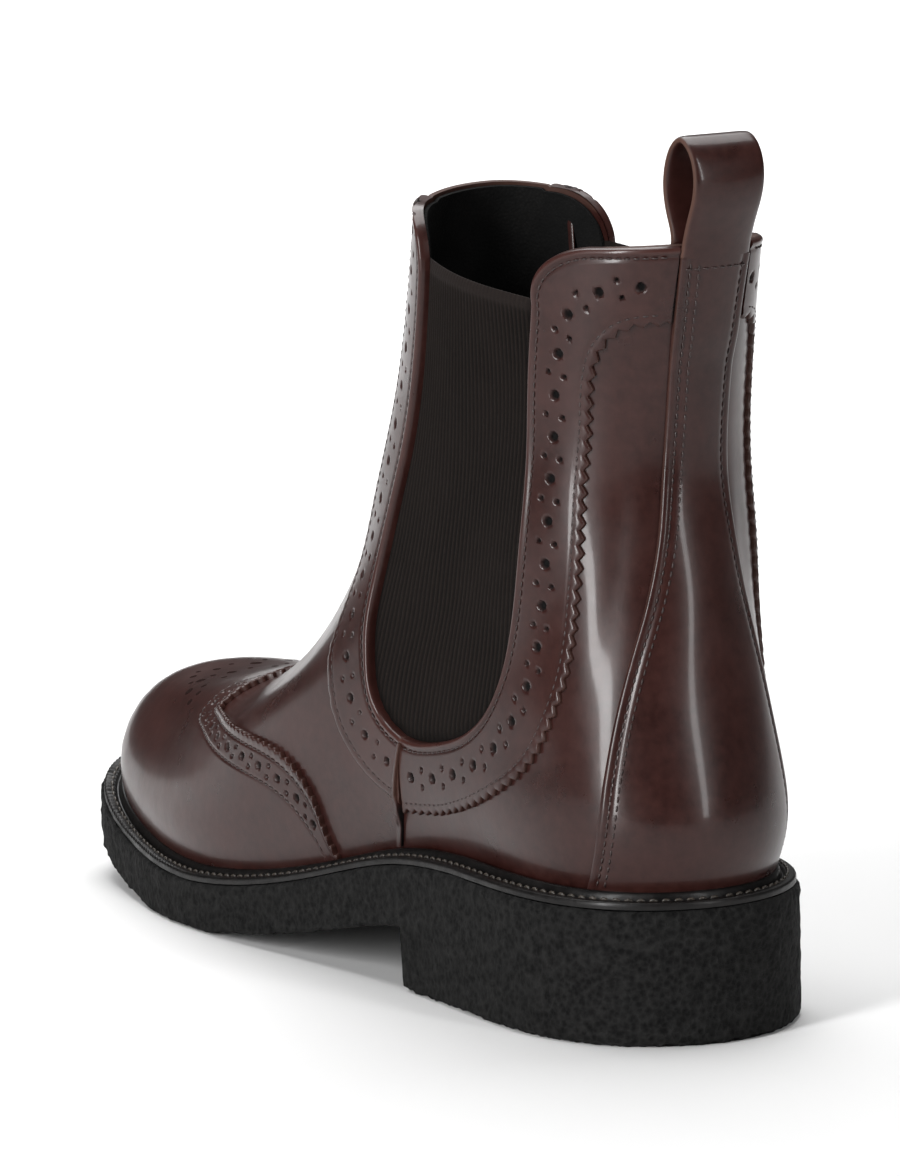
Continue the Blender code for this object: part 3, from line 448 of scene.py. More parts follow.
def make_piece(name, points, faces, material, marks=None, sharp=50):
    """A mesh object from an array of points and arrays of triangles and quads, turned to face outwards,
    with values painted on its points, riding on the boot."""
    points = np.asarray(points, float).reshape(-1, 3)
    faces = [np.asarray(part).reshape(len(part), -1) for part in faces if len(part)]
    volume = 0.0
    for part in faces:
        corners = points[part]
        for k in range(1, part.shape[1] - 1):
            volume += (corners[:, 0] * np.cross(corners[:, k], corners[:, k + 1])).sum()
    if volume < 0:
        faces = [part[:, ::-1] for part in faces]
    sizes = np.concatenate([np.full(len(part), part.shape[1]) for part in faces])
    mesh = bpy.data.meshes.new(name)
    mesh.vertices.add(len(points))
    mesh.vertices.foreach_set("co", points.astype(np.float32).ravel())
    mesh.loops.add(int(sizes.sum()))
    corners = np.concatenate([part.ravel() for part in faces])
    mesh.loops.foreach_set("vertex_index", corners.astype(np.int32))
    mesh.polygons.add(len(sizes))
    mesh.polygons.foreach_set("loop_start", np.r_[0, np.cumsum(sizes)[:-1]].astype(np.int32))
    mesh.update(calc_edges=True)
    mesh.validate()
    mesh.shade_smooth()
    mesh.set_sharp_from_angle(angle=math.radians(sharp))
    for label, values in (marks or {}).items():
        layer = mesh.attributes.new(label, "FLOAT", "POINT")
        layer.data.foreach_set("value", np.asarray(values, np.float32).ravel())
    mesh.materials.append(material)
    made = bpy.data.objects.new(name, mesh)
    bpy.context.scene.collection.objects.link(made)
    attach(made, "root")
    return made


def wall_faces(keep, columns):
    """Faces of a closed wall between two grids of the same size, closed round the columns: the kept cells
    outside and, turned round, inside, with a side face wherever a kept cell has no kept neighbour."""
    rows = keep.shape[0] + 1
    size = rows * columns
    index = np.arange(size).reshape(rows, columns)
    a, b = index[:-1], np.roll(index, -1, axis=1)[:-1]
    d, c = index[1:], np.roll(index, -1, axis=1)[1:]
    outer = np.stack([a[keep], b[keep], c[keep], d[keep]], axis=1)
    inner = outer[:, ::-1] + size
    padded = np.pad(keep, ((1, 1), (0, 0)))
    below, above = keep & ~padded[:-2], keep & ~padded[2:]
    before, after = keep & ~np.roll(keep, 1, axis=1), keep & ~np.roll(keep, -1, axis=1)
    rims = []
    for where, p, q in ((below, a, b), (after, b, c), (above, c, d), (before, d, a)):
        rims.append(np.stack([q[where], p[where], p[where] + size, q[where] + size], axis=1))
    return [outer, inner, np.concatenate(rims)]


def drop_unused(points, faces, marks):
    """The same mesh without the points that no face uses."""
    used = np.zeros(len(points), bool)
    for part in faces:
        used[part.ravel()] = True
    number = np.cumsum(used) - 1
    return points[used], [number[part] for part in faces], {k: v[used] for k, v in marks.items()}


# Cut edges: the raw leather's lighter colour, partly a painted highlight along the edge. Punched holes and
# the side seams' foot: painted shade.
CUT_EDGE_AND_HIGHLIGHT, HOLE_SHADE = (0.085, 0.042, 0.030), (0.0012, 0.0008, 0.0008)


def leather(name, deep, mid, bright, coat=0.22):
    """Polished burgundy calf: colour in slow clouds with a fine mottle, pores and grain as relief, a painted
    shade near black in punched holes and at the foot of the side seams' lapped edges, lighter and dull on
    cut edges, partly the raw edge's own colour and partly a painted highlight, worn lighter on turned rims."""
    material, tree, shader = new_material(name, 0.3, Coat_Roughness=0.10, Specular_IOR_Level=0.24)
    place = object_place(tree)
    mottle = clouds(tree, place, 420, 3, 0.6, 0.3, 0.72)
    base = blend_colours(tree, clouds(tree, place, 38, 4, 0.6, 0.36, 0.68), deep, mid)
    base = blend_colours(tree, times(tree, mottle, 0.35), base, bright)
    base = blend_colours(tree, times(tree, mark(tree, "worn"), 0.6), base, bright)
    # Cut edges take a lighter colour: the raw edge's own tone together with a painted highlight along it.
    base = blend_colours(tree, mark(tree, "cut"), base, CUT_EDGE_AND_HIGHLIGHT)
    # Painted shade: near black where the "dark" mark lies, in punched holes and at the foot of the side
    # seams.
    base = blend_colours(tree, mark(tree, "dark"), base, HOLE_SHADE)
    gloss = clouds(tree, place, 75, 5, 0.6, 0.3, 0.72, 0.26, 0.38)
    dull = reckon(tree, "MAXIMUM", mark(tree, "cut"), mark(tree, "dark"))
    rough = reckon(tree, "ADD", gloss, times(tree, dull, 0.65))
    pores = spread(tree, cells(tree, place, 1900), 0.0, 0.35, 0.0, 1.0)
    normal = raised(tree, noise(tree, place, 1300, 4, 0.6), 0.04 * MM, strength=0.3)
    normal = raised(tree, pores, 0.02 * MM, normal, 0.2)
    normal = raised(tree, noise(tree, place, 120, 2, 0.5), 0.2 * MM, normal, 0.35)
    lead(tree, shader, Base_Color=base, Roughness=rough, Normal=normal,
         Coat_Weight=spread(tree, dull, 0.0, 0.6, coat, 0.0))
    return material


burgundy = leather("burgundy_calf", (0.014, 0.0038, 0.0031), (0.028, 0.0086, 0.0070), (0.052, 0.019, 0.0155))
turns, rows = np.meshgrid(np.arange(LEATHER_COLUMNS) / LEATHER_COLUMNS, np.linspace(0, TOP_ROW, LEATHER_ROWS))
turns, rows, keep = notched_grid(turns, rows, NOTCH_ROOM)
outer, inner = lifted(turns, rows, 0.0), lifted(turns, rows, -LEATHER_THICKNESS)
inner[0, :, 2] = outer[0, :, 2]
cut = np.zeros(outer.shape[:2])
cut[-1] = 0.45  # the collar's edge: raw edge colour with a painted highlight along it
points, faces, marks = drop_unused(in_one(outer, inner), wall_faces(keep, LEATHER_COLUMNS),
                                   {"cut": np.r_[cut.ravel(), cut.ravel()]})
upper = make_piece("upper_leather", points, faces, burgundy, marks)
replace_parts(upper, "upper")


# Lining
# A thin black textile is glued and sewn inside the leather before it goes on the last. It ends just
# under the collar's edge and stops at the gores, where the elastic shows through.

LINING_OUT, LINING_IN, LINING_COLUMNS, LINING_ROWS, LINING_ROOM = -1.45 * MM, -2.3 * MM, 220, 80, 1.5 * MM
turns, rows = np.meshgrid(np.arange(LINING_COLUMNS) / LINING_COLUMNS,
                          np.linspace(0, TOP_ROW - 0.02, LINING_ROWS))
turns, rows, keep = notched_grid(turns, rows, LINING_ROOM)
points = in_one(lifted(turns, rows, LINING_OUT), lifted(turns, rows, LINING_IN))
points, faces, _ = drop_unused(points, wall_faces(keep, LINING_COLUMNS), {})
make_piece("lining", points, faces, lining_cloth)


# Gores
# The side panels are woven elastic, 1.4 mm thick, with fine upright ribs that fan out a little. They
# are sewn in between leather and lining, and their top edge is bound.

def sheet_faces(rows, columns):
    """Faces of a closed plate between two grids of the same size: both sheets and the rim round them."""
    index = np.arange(rows * columns).reshape(rows, columns)
    size = rows * columns
    front = np.stack([index[:-1, :-1], index[:-1, 1:], index[1:, 1:], index[1:, :-1]], axis=-1).reshape(-1, 4)
    rim = np.concatenate([index[0, :], index[1:, -1], index[-1, -2::-1], index[-2:0:-1, 0]])
    follow = np.roll(rim, -1)
    return [front, front[:, ::-1] + size, np.stack([follow, rim, rim + size, follow + size], axis=1)]


def ease(share):
    """A soft step from 0 to 1."""
    share = np.clip(share, 0, 1)
    return share * share * (3 - 2 * share)


def elastic_cloth():
    """Black woven elastic: ribs from the mesh, and across them the fine bite of the weft threads."""
    material, tree, shader = new_material("ribbed_elastic", 0.85, Specular_IOR_Level=0.12)
    place = object_place(tree)
    fuzz = noise(tree, place, 1800, 3, 0.7)
    wear = clouds(tree, place, 60, 4, 0.6, 0.35, 0.7)
    crest = times(tree, mark(tree, "crest"), spread(tree, fuzz, 0.3, 0.7, 0.5, 1.0))
    base = blend_colours(tree, crest, (0.0016, 0.0010, 0.0008), (0.012, 0.0080, 0.0064))
    base = blend_colours(tree, times(tree, wear, 0.3), base, (0.010, 0.007, 0.006))
    base = blend_colours(tree, times(tree, mark(tree, "bound"), 0.6), base, (0.014, 0.010, 0.009))
    normal = raised(tree, fuzz, 0.12 * MM, strength=0.7)
    lead(tree, shader, Base_Color=base, Normal=raised(tree, cells(tree, place, 1400), 0.1 * MM, normal, 0.5))
    return material


elastic = elastic_cloth()
RIBS, RIB_POINTS = 44, 6
GORE_TOPS = HEEL_HEIGHT + UPPER_HEIGHT * np.array([0.862, 0.895])
GORE_FOOT = HEEL_HEIGHT + GORE_EDGE[:, 1].min() * UPPER_HEIGHT - 4 * MM
heights = np.r_[np.linspace(0, 0.97, 44), 0.98, 0.987, 0.993, 0.997, 1.0]
across, up = np.meshgrid(np.linspace(0, 1, RIBS * RIB_POINTS + 1), heights)
top_y, foot_y = (np.interp(across, (0, 1), ends) for ends in ((-11 * MM, 43 * MM), (-5 * MM, 77 * MM)))
top_z = np.interp(top_y, (-5.5 * MM, 36.6 * MM), GORE_TOPS)
foot_z = np.full(across.shape, GORE_FOOT)
side = np.stack([foot_y + (top_y - foot_y) * up, foot_z + (top_z - foot_z) * up], axis=-1)
line = gore_outline(0.0)
far, _ = beside_line(side.reshape(-1, 2), line)
inside = within(side.reshape(-1, 2), line)
depth = np.where(inside, far, -far).reshape(across.shape)
bare = ease(depth / (2.6 * MM))  # 0 under the leather, 1 where the elastic shows
wave = np.cos(2 * math.pi * RIBS * across)
bound = ease((up - 0.968) / 0.008)
front = (-1.28 + bare * (0.72 + 0.15 * wave * (1 - bound) + 0.10 * bound)) * MM
back = (-1.40 - bare * (0.50 + 0.12 * wave)) * MM
edge = np.sqrt(np.clip((up - 0.985) / 0.015, 0, 1))
middle = (front + back) / 2
front, back = front + (middle - front) * 0.8 * edge ** 3, back + (middle - back) * 0.8 * edge ** 3
turn, row = side_view_place(side, np.interp(side[..., 0], (-10 * MM, 60 * MM), (0.13, 0.27)),
                            np.interp(side[..., 1], (50 * MM, 200 * MM), (2.0, 11.0)))
crest = np.clip(0.5 + 0.5 * wave, 0, 1) ** 1.5 * bare
marks = {"crest": np.r_[crest.ravel(), crest.ravel()], "bound": np.r_[bound.ravel(), bound.ravel()]}
for word, sign in (("inner", 1), ("outer", -1)):
    turns = turn if sign > 0 else 1 - turn
    points = in_one(lifted(turns, row, front), lifted(turns, row, back))
    faces = sheet_faces(*across.shape)
    gore = make_piece("gore_" + word + "_elastic", points, faces, elastic, marks)
    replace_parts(gore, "gore_" + word)


# Brogued bands
# A band of the same leather runs round each gore, one behind it and along the collar, one in front. Its
# gore side is turned over, its free side is pinked, and rows of punched holes run down its middle.

def on_last(line):
    """Points of a line of (turn, row) on the last."""
    return last_point(line[:, 0], line[:, 1])


def resample(path, count):
    """Evenly spaced points along a path of (turn, row), measured on the last."""
    run = path_length(on_last(path))
    at = np.linspace(0, run[-1], count)
    return np.stack([np.interp(at, run, path[:, i]) for i in range(2)], axis=1)


def smooth_line(table, count):
    """A smooth line on the last through a table of (turn, row)."""
    table = np.asarray(table, float)
    run = path_length(on_last(table))
    return resample(spline_weights(run, np.linspace(0, run[-1], 400)) @ table, count)


def beside_on_last(path, offset):
    """The line on the last that lies beside a path at a distance, to its left, by Newton steps."""
    turn, row = path.T.copy()
    here = last_point(turn, row)
    side = unit(np.cross(last_normal(turn, row), np.gradient(here, axis=0)))
    target = here + side * offset
    for _ in range(12):
        along, rising = last_slopes(turn, row)
        miss = target - last_point(turn, row)
        aa, bb, ab = (along ** 2).sum(-1), (rising ** 2).sum(-1), (along * rising).sum(-1)
        ma, mb = (miss * along).sum(-1), (miss * rising).sum(-1)
        size = aa * bb - ab ** 2
        turn = turn + (ma * bb - mb * ab) / size
        row = np.clip(row + (mb * aa - ma * ab) / size, 0, TOP_ROW)
    return np.stack([turn, row], axis=1)


def paired(first, second, count):
    """Both lines resampled so that each column runs straight across: for every place on the first line
    the nearest on the second, kept in order and smoothed, with steps even on the mean of both."""
    steps, window = 900, 91
    a, b = resample(first, steps), resample(second, steps)
    p, q = on_last(a), on_last(b)
    near = np.maximum.accumulate(np.linalg.norm(p[:, None] - q[None], axis=-1).argmin(axis=1)).astype(float)
    near = (near - near[0]) / (near[-1] - near[0]) * (steps - 1)
    near = np.pad(near, window // 2, mode="reflect", reflect_type="odd")
    near = np.convolve(near, np.ones(window) / window, mode="valid")
    near = (near - near[0]) / (near[-1] - near[0]) * (steps - 1)
    number = np.arange(steps)
    run = path_length(p) + np.interp(near, number, path_length(q))
    at = np.interp(np.linspace(0, run[-1], count), run, number)
    return [np.stack([np.interp(where, number, line[:, i]) for i in range(2)], axis=1)
            for line, where in ((a, at), (b, np.interp(at, number, near)))]


def pinked(distance, pitch):
    """Teeth of the pinking iron: 0 at a notch and 1 at a point, for a distance run along the edge."""
    return np.abs((distance / pitch) % 1.0 * 2 - 1) ** 0.85


def strip(first, second, rim, edge, teeth, room, cells, crown):
    """A strip of leather between two lines on the last. Rows near the first line follow the rim's table of
    distance and lift, rows near the second follow the edge's table measured in from the pinked line,
    and the rest lie evenly between. Gives turn, row, lift and the distances from both lines."""
    width = np.linalg.norm(on_last(second) - on_last(first), axis=1)
    rim, edge = np.asarray(rim) * MM, np.asarray(edge) * MM
    start, end = rim[-1, 0], edge[0, 0] + room
    middle = start + (width - start - end) * np.linspace(0, 1, cells + 2)[1:-1, None]
    near = np.broadcast_to(rim[:, 0:1], (len(rim), len(width)))
    share = (1 - edge[:, 0:1] / edge[0, 0])
    last_part = width - edge[:, 0:1] - room * (1 - share) - teeth * share
    across = np.concatenate([near, middle, last_part])
    lift = np.concatenate([np.broadcast_to(rim[:, 1:], near.shape), np.full(middle.shape, crown),
                           np.broadcast_to(edge[:, 1:], last_part.shape)])
    share = across / width
    turn = first[:, 0] + (second[:, 0] - first[:, 0]) * share
    row = first[:, 1] + (second[:, 1] - first[:, 1]) * share
    return turn, row, lift, across, width - across


def bell(distance, middle, half):
    """A soft hump of height 1 over a middle, falling off within about a half width."""
    return np.exp(-((distance - middle) / half) ** 2)


def punched(points, centres, radii):
    """How deep each point lies in the nearest punched hole: 1 over the hole, 0 outside, soft at its rim."""
    deep = np.zeros(len(points))
    for radius in np.unique(radii):
        some = centres[radii == radius]
        for k in range(0, len(some), 60):
            far = np.linalg.norm(points[:, None, :] - some[None, k:k + 60], axis=-1).min(axis=1)
            deep = np.maximum(deep, ease((radius + 0.22 * MM - far) / (0.44 * MM)))
    return deep


def at_distance(path, values, at):
    """Values read along a path of points at distances run from its start."""
    run = path_length(path)
    return np.stack([np.interp(at, run, values[:, i]) for i in range(values.shape[1])], axis=1)


def brogue_holes(lines, pitch, radius, small_radius, start=0.5):
    """Turn and row of a row of holes: a large one at every pitch along the middle line, and between two of
    them a pair of small ones on the lines beside it."""
    path = on_last(lines[0])
    count = int((path_length(path)[-1] - pitch * start) // pitch) + 1
    large = pitch * (start + np.arange(count))
    small = pitch * (start + 0.5 + np.arange(count - 1))
    holes = [at_distance(path, line, at) for line, at in zip(lines, (large, small, small))]
    return np.concatenate(holes), np.r_[np.full(len(large), radius), np.full(2 * len(small), small_radius)]


def stitch_row(name, path, outward, pitch, length, thick, stand, material, ends=(0.0, 0.0)):
    """Threads of a seam: bars of six sides that lie along a path of points, each bowed up in its middle
    and diving at both ends into its needle holes."""
    run = path_length(path)
    count = int((run[-1] - ends[0] - ends[1]) // pitch)
    centre = ends[0] + pitch * (np.arange(count) + 0.5)
    t = np.array([-1.0, -0.72, 0.0, 0.72, 1.0])
    at = centre[:, None] + t * length / 2
    spot = at_distance(path, path, at.ravel()).reshape(count, 5, 3)
    normal = unit(at_distance(path, outward, at.ravel())).reshape(count, 5, 3)
    ahead = unit(spot[:, -1:] - spot[:, :1])
    side = unit(np.cross(normal, ahead))
    angle = np.arange(6) / 6 * 2 * math.pi
    radius = thick / 2 * np.array([0.35, 0.85, 1.0, 0.85, 0.35])
    height = stand + thick * np.array([-0.55, 0.0, 0.22, 0.0, -0.55])
    ring = (np.cos(angle)[:, None] * normal[:, :, None, :] + np.sin(angle)[:, None] * side[:, :, None, :])
    points = spot[:, :, None] + normal[:, :, None] * height[:, None, None] + ring * radius[:, None, None]
    base = np.arange(30).reshape(5, 6)
    after = np.roll(base, -1, axis=1)
    bar = np.stack([base[:-1], base[1:], after[1:], after[:-1]], axis=-1).reshape(-1, 4)
    caps = np.array([(0, 1, 2, 3), (0, 3, 4, 5), (27, 26, 25, 24), (29, 28, 27, 24)])
    bar = np.concatenate([bar, caps])
    faces = (bar[None] + 30 * np.arange(count)[:, None, None]).reshape(-1, 4)
    make_piece(name, points.reshape(-1, 3), [faces], material, sharp=80)


def thread(name, colour, light):
    """Waxed linen thread: twisted strands as fine relief."""
    material, tree, shader = new_material(name, 0.5, Coat_Weight=0.1)
    place = object_place(tree)
    strands = noise(tree, place, 2600, 2, 0.5)
    base = blend_colours(tree, spread(tree, strands, 0.35, 0.65, 0.0, 1.0), colour, light)
    lead(tree, shader, Base_Color=base, Normal=raised(tree, strands, 0.08 * MM))
    return material


def across_strip(first, second, distance):
    """The line on a strip at a distance from its first line, as (turn, row)."""
    width = np.linalg.norm(on_last(second) - on_last(first), axis=1)
    return first + (second - first) * (distance / width)[:, None]


def mirrored(line, sign):
    """The same line on the boot's other side."""
    return line if sign > 0 else np.stack([1 - line[:, 0], line[:, 1]], axis=1)


def overlay(node, turn, row, lift, marks, under=None):
    """A leather piece that lies on the upper and takes a node's place: its face at a lift over the last, its
    underside close to the upper, and its marks on the face alone."""
    if under is None:
        under = np.minimum(lift - 0.1 * MM, 0.1 * MM)
    points = in_one(lifted(turn, row, lift), lifted(turn, row, under))
    marks = {label: np.r_[values.ravel(), np.zeros(values.size)] for label, values in marks.items()}
    faces = sheet_faces(*turn.shape)
    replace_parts(make_piece(node + "_leather", points, faces, burgundy, marks), node)


burgundy_thread = thread("burgundy_thread", (0.010, 0.004, 0.0035), (0.030, 0.013, 0.011))
OVERLAY, HOLE_DEPTH, GROOVE_DEPTH = 1.2 * MM, 1.0 * MM, 0.2 * MM
STITCH_PITCH, STITCH_LENGTH, THREAD, THREAD_STAND = 2.2 * MM, 1.75 * MM, 0.5 * MM, 0.05 * MM


def leather_stitches(piece, line, lift=1.0 * MM, ends=(1.0 * MM, 1.0 * MM)):
    """A seam of burgundy thread along a line of (turn, row), at a lift over the last."""
    path, outward = lifted(line[:, 0], line[:, 1], lift), last_normal(line[:, 0], line[:, 1])
    stitch_row(piece + "_stitches", path, outward, STITCH_PITCH, STITCH_LENGTH, THREAD, THREAD_STAND,
               burgundy_thread, ends)


# Both borders of a band in millimetres: distance in from the border, and lift over the last
RIM = ((0.0, -1.20), (0.02, -0.2), (0.06, 0.55), (0.25, 1.05), (0.6, 1.35), (1.0, 1.45), (1.4, 1.38),
       (1.8, 1.18), (2.2, 1.08), (2.7, 1.15))
EDGE = ((1.9, 1.25), (1.3, 1.30), (0.7, 1.30), (0.3, 1.20), (0.08, 1.0), (0.0, 0.6), (0.0, -0.15))
# The rear band's pinked edge, and the side seam, as turn and row
QUARTER_BAND_EDGE = (
    (0.2017, 1.27), (0.1826, 1.28), (0.1470, 2.02), (0.1171, 3.04), (0.0992, 4.13), (0.0940, 5.06),
    (0.0955, 6.27), (0.0970, 7.50), (0.0996, 9.03), (0.1020, 9.73), (0.0940, 10.08), (0.0780, 10.20),
)
SIDE_SEAM = np.array([(0.2080, 0.30), (0.2032, 1.65), (0.2014, 3.05)])
FACING_WIDTH = 18.6 * MM
STRAP_SHIFT_TURN = 0.0087
TOOTH, TOOTH_PITCH = 1.5 * MM, 3.6 * MM
RIM_STITCHES, EDGE_STITCHES, HOLE_PITCH, HOLE_ASIDE = 2.4 * MM, 3.1 * MM, 10.2 * MM, 2.2 * MM


def side_seam(row):
    """Turn of the side seam's middle at a row."""
    return np.interp(row, SIDE_SEAM[:, 1], SIDE_SEAM[:, 0])


def notch_on_last(grow):
    """The notch's edge on the last's inner side as (turn, row), with how many points its corners have."""
    front_arc, outline, back_arc = notch_outline(grow)
    points = np.concatenate([front_arc, outline, back_arc])
    turn, row = side_view_place(points, np.interp(points[:, 0], (-10 * MM, 60 * MM), (0.13, 0.27)),
                                np.interp(points[:, 1], (53 * MM, 199 * MM), (2.0, 11.0)))
    return np.stack([turn, row], axis=1), len(front_arc), len(back_arc)


def from_seam(line, sign):
    """The part of a line in front of the side seam or behind it, with its first point on the seam itself."""
    kept = line[sign * (line[:, 0] - side_seam(line[:, 1])) > 0]
    back = kept[0] - kept[1]
    reach = (side_seam(kept[0, 1]) - kept[0, 0]) / back[0]
    return np.concatenate([[kept[0] + back * np.clip(reach, 0, 3)], kept])


border, front_count, back_count = notch_on_last(0.0)
foot = front_count + int(np.argmin(border[front_count:-back_count, 1]))
around = border[:foot + 14][::-1]
front_rim = from_seam(around, 1)
around = around[:len(around) - front_count]
around = np.concatenate([around, [(around[-1, 0] - 0.004, TOP_ROW)]])
facing_edge = from_seam(beside_on_last(around, -FACING_WIDTH), 1)
facing_edge[-1, 1] = TOP_ROW
rear_rim = from_seam(border[foot - 14:], -1)

for word, sign in (("inner", 1), ("outer", -1)):
    end = 0.046 + sign * STRAP_SHIFT_TURN
    rim_end = np.array([((rear_rim[-1, 0] + end) / 2, TOP_ROW), (end, TOP_ROW)])
    rear_edge = smooth_line(QUARTER_BAND_EDGE + ((end, 10.23),), 600)
    behind = ("quarter_band_", np.concatenate([rear_rim, rim_end]), rear_edge, 480, 1.15 * MM, 0.55 * MM)
    ahead = ("facing_band_", front_rim, facing_edge, 360, 0.95 * MM, 0.40 * MM)
    for band, first, second, columns, radius, small_radius in (behind, ahead):
        a, b = paired(mirrored(first, sign), mirrored(second, sign), columns)
        width = np.linalg.norm(on_last(b) - on_last(a), axis=1)
        toothed = 1.0 if band == "quarter_band_" else ease((b[:, 1] - 5.2) / 0.8)
        teeth = TOOTH * (0.5 + (0.5 - pinked(path_length(on_last(b)), TOOTH_PITCH)) * toothed)
        turn, row, lift, from_rim, from_edge = strip(a, b, RIM, EDGE, teeth, TOOTH, 28, OVERLAY)
        middle = 0.56 * (width - EDGE_STITCHES)
        lines = [across_strip(a, b, middle + aside) for aside in (0.0, -HOLE_ASIDE, HOLE_ASIDE)]
        holes, radii = brogue_holes(lines, HOLE_PITCH, radius, small_radius)
        centres = lifted(holes[:, 0], holes[:, 1], OVERLAY)
        deep = punched(lifted(turn, row, lift).reshape(-1, 3), centres, radii).reshape(turn.shape)
        groove = bell(from_edge, EDGE_STITCHES, 0.4 * MM) + bell(from_rim, RIM_STITCHES, 0.35 * MM)
        cut = np.zeros(turn.shape)
        cut[-3:] = cut[:, :2] = 0.25
        # The punched holes carry a painted shade through the "dark" mark.
        overlay(band + word, turn, row, lift - HOLE_DEPTH * deep - GROOVE_DEPTH * groove,
                {"dark": deep, "cut": cut, "worn": bell(from_rim, 0.7 * MM, 0.6 * MM)})
        for label, distance in (("_rim", np.full(columns, RIM_STITCHES)), ("_edge", width - EDGE_STITCHES)):
            line = across_strip(a, b, distance)
            leather_stitches(band + word + label, line, ends=(0.8 * MM, 1.0 * MM))


# Side seams
# Vamp and quarter meet in a short seam between the gore and the welt, the front piece lapped over the
# rear one with a thick cut edge and sewn down beside it.

def foot_row(turn, height):
    """How many rows of the last lie below a small height over the sole."""
    share = (1 - np.cos(2 * math.pi * np.asarray(turn, float))) / 2
    front_rise, back_rise = LAST_ROWS[1, 1], LAST_ROWS[1, 3]
    return height / (UPPER_HEIGHT * (back_rise + (front_rise - back_rise) * share))


# Across the seam in millimetres, from the cut edge in front: distance from its middle, and lift
SEAM_PROFILE = np.array([(-1.0, -0.1), (-1.0, 0.8), (-0.96, 1.55), (-0.8, 1.9), (-0.45, 1.98), (0.0, 1.85),
                         (0.6, 1.55), (1.1, 1.3), (1.6, 1.15), (1.65, -0.1)])
gore_foot_row = border[front_count:-back_count, 1].min() - 0.02
rows_up = np.linspace(foot_row(side_seam(0.4), 4.0 * MM), gore_foot_row, 90)
lap = np.interp(rows_up, (0.3, 1.2, 1.5, 1.75, 3.05), (0.0, 0.0003, 0.0010, 0.0026, 0.0))
turn = (side_seam(rows_up) + lap)[None, :] + SEAM_PROFILE[:, 0:1] * MM / (math.pi * LAST_LENGTH)
row = np.broadcast_to(rows_up[None, :], turn.shape)
over_band = 0.45 + 0.55 * ease((rows_up - 0.9) / 0.5)
lift = np.maximum(SEAM_PROFILE[:, 1:] * over_band[None, :], -0.1) * MM
cut, dark = np.zeros(turn.shape), np.zeros(turn.shape)
cut[1:4] = 0.5 * ease((rows_up - 1.5) / 0.3)
# Painted shade: the lapped edge's front wall turns near black low down, by the welt.
dark[:3] = 0.9 * ease((1.6 - rows_up) / 0.3)
for word, turns in (("inner", turn), ("outer", 1 - turn)):
    overlay("side_seam_" + word, turns, row, lift, {"cut": cut, "dark": dark}, under=-0.15 * MM)


# Wing cap
# The toe is covered by a second layer of the leather, whose wings sweep back along both sides to the
# seams. Its upper edge is pinked and sewn, with a row of holes, and a rosette is punched on the toe.

# The wing's edge, from the welt to the toe's middle, as turn and row
WING_EDGE = (
    (0.240, 0.34), (0.245, 1.14), (0.249, 1.86), (0.257, 2.59), (0.269, 3.16), (0.287, 3.57), (0.311, 3.88),
    (0.342, 4.12), (0.362, 4.32), (0.378, 4.62), (0.398, 4.93), (0.430, 5.27), (0.465, 5.60), (0.500, 5.85),
)
CAP_EDGE_LINE, CAP_HOLE_LINE, CAP_TOE_LINE = 3.6 * MM, 7.4 * MM, 11.2 * MM
CAP_TOOTH, CAP_TOOTH_PITCH = 1.1 * MM, 2.6 * MM


def read_columns(at, places, values):
    """Values read at places along each column of its own table. The tables are laid end to end, so that
    one interpolation serves them all."""
    shift = (2 * np.abs(places).max() + 1) * np.arange(places.shape[1])
    return np.interp(at + shift, (places + shift).T.ravel(), np.broadcast_to(values, places.shape).T.ravel())


half = smooth_line(WING_EDGE, 310)
half = beside_on_last(half, 1.5 * MM)
half[-1, 0] = 0.5
edge_line = np.concatenate([half, np.stack([1 - half[-2::-1, 0], half[-2::-1, 1]], axis=1)])
foot_line = np.stack([edge_line[:, 0], foot_row(edge_line[:, 0], 3.6 * MM)], axis=1)
steps = np.linspace(0, 1, 60)[:, None]
between = foot_line[None] + (edge_line - foot_line)[None] * steps[..., None]
sheet = last_point(between[..., 0], between[..., 1])
run = path_length(sheet)
width = run[-1]
teeth = CAP_TOOTH * (1 - pinked(path_length(sheet[-1]), CAP_TOOTH_PITCH))
inset = np.array([1.9, 1.3, 0.7, 0.3, 0.08, 0.0, 0.0])[:, None] * MM
inset_lift = np.array([1.25, 1.45, 1.60, 1.62, 1.45, 1.0, -0.15])[:, None] * MM
fine = np.minimum(13.5 * MM, 0.8 * width)
coarse_part = (width - fine) * np.linspace(0, 1, 20)[:, None]
fine_part = (width - fine) + (fine - inset[0] - CAP_TOOTH) * np.linspace(0, 1, 27)[1:-1, None]
part = 1 - inset / inset[0]
last_part = width - inset - CAP_TOOTH * (1 - part) - teeth * part
from_foot = np.concatenate([coarse_part, fine_part, last_part])
share = read_columns(from_foot, run, steps)
turn = foot_line[:, 0] + (edge_line - foot_line)[:, 0] * share
row = foot_line[:, 1] + (edge_line - foot_line)[:, 1] * share
lift = np.full(from_foot.shape, OVERLAY)
lift[-len(inset):] = inset_lift
from_edge = width - from_foot


def cap_line(inside):
    """Turn and row of a line on the cap at a distance in from its edge, where the wing is wide enough."""
    clear = width > 13 * MM
    return (foot_line + (edge_line - foot_line) * read_columns(width - inside, run, steps)[:, None])[clear]


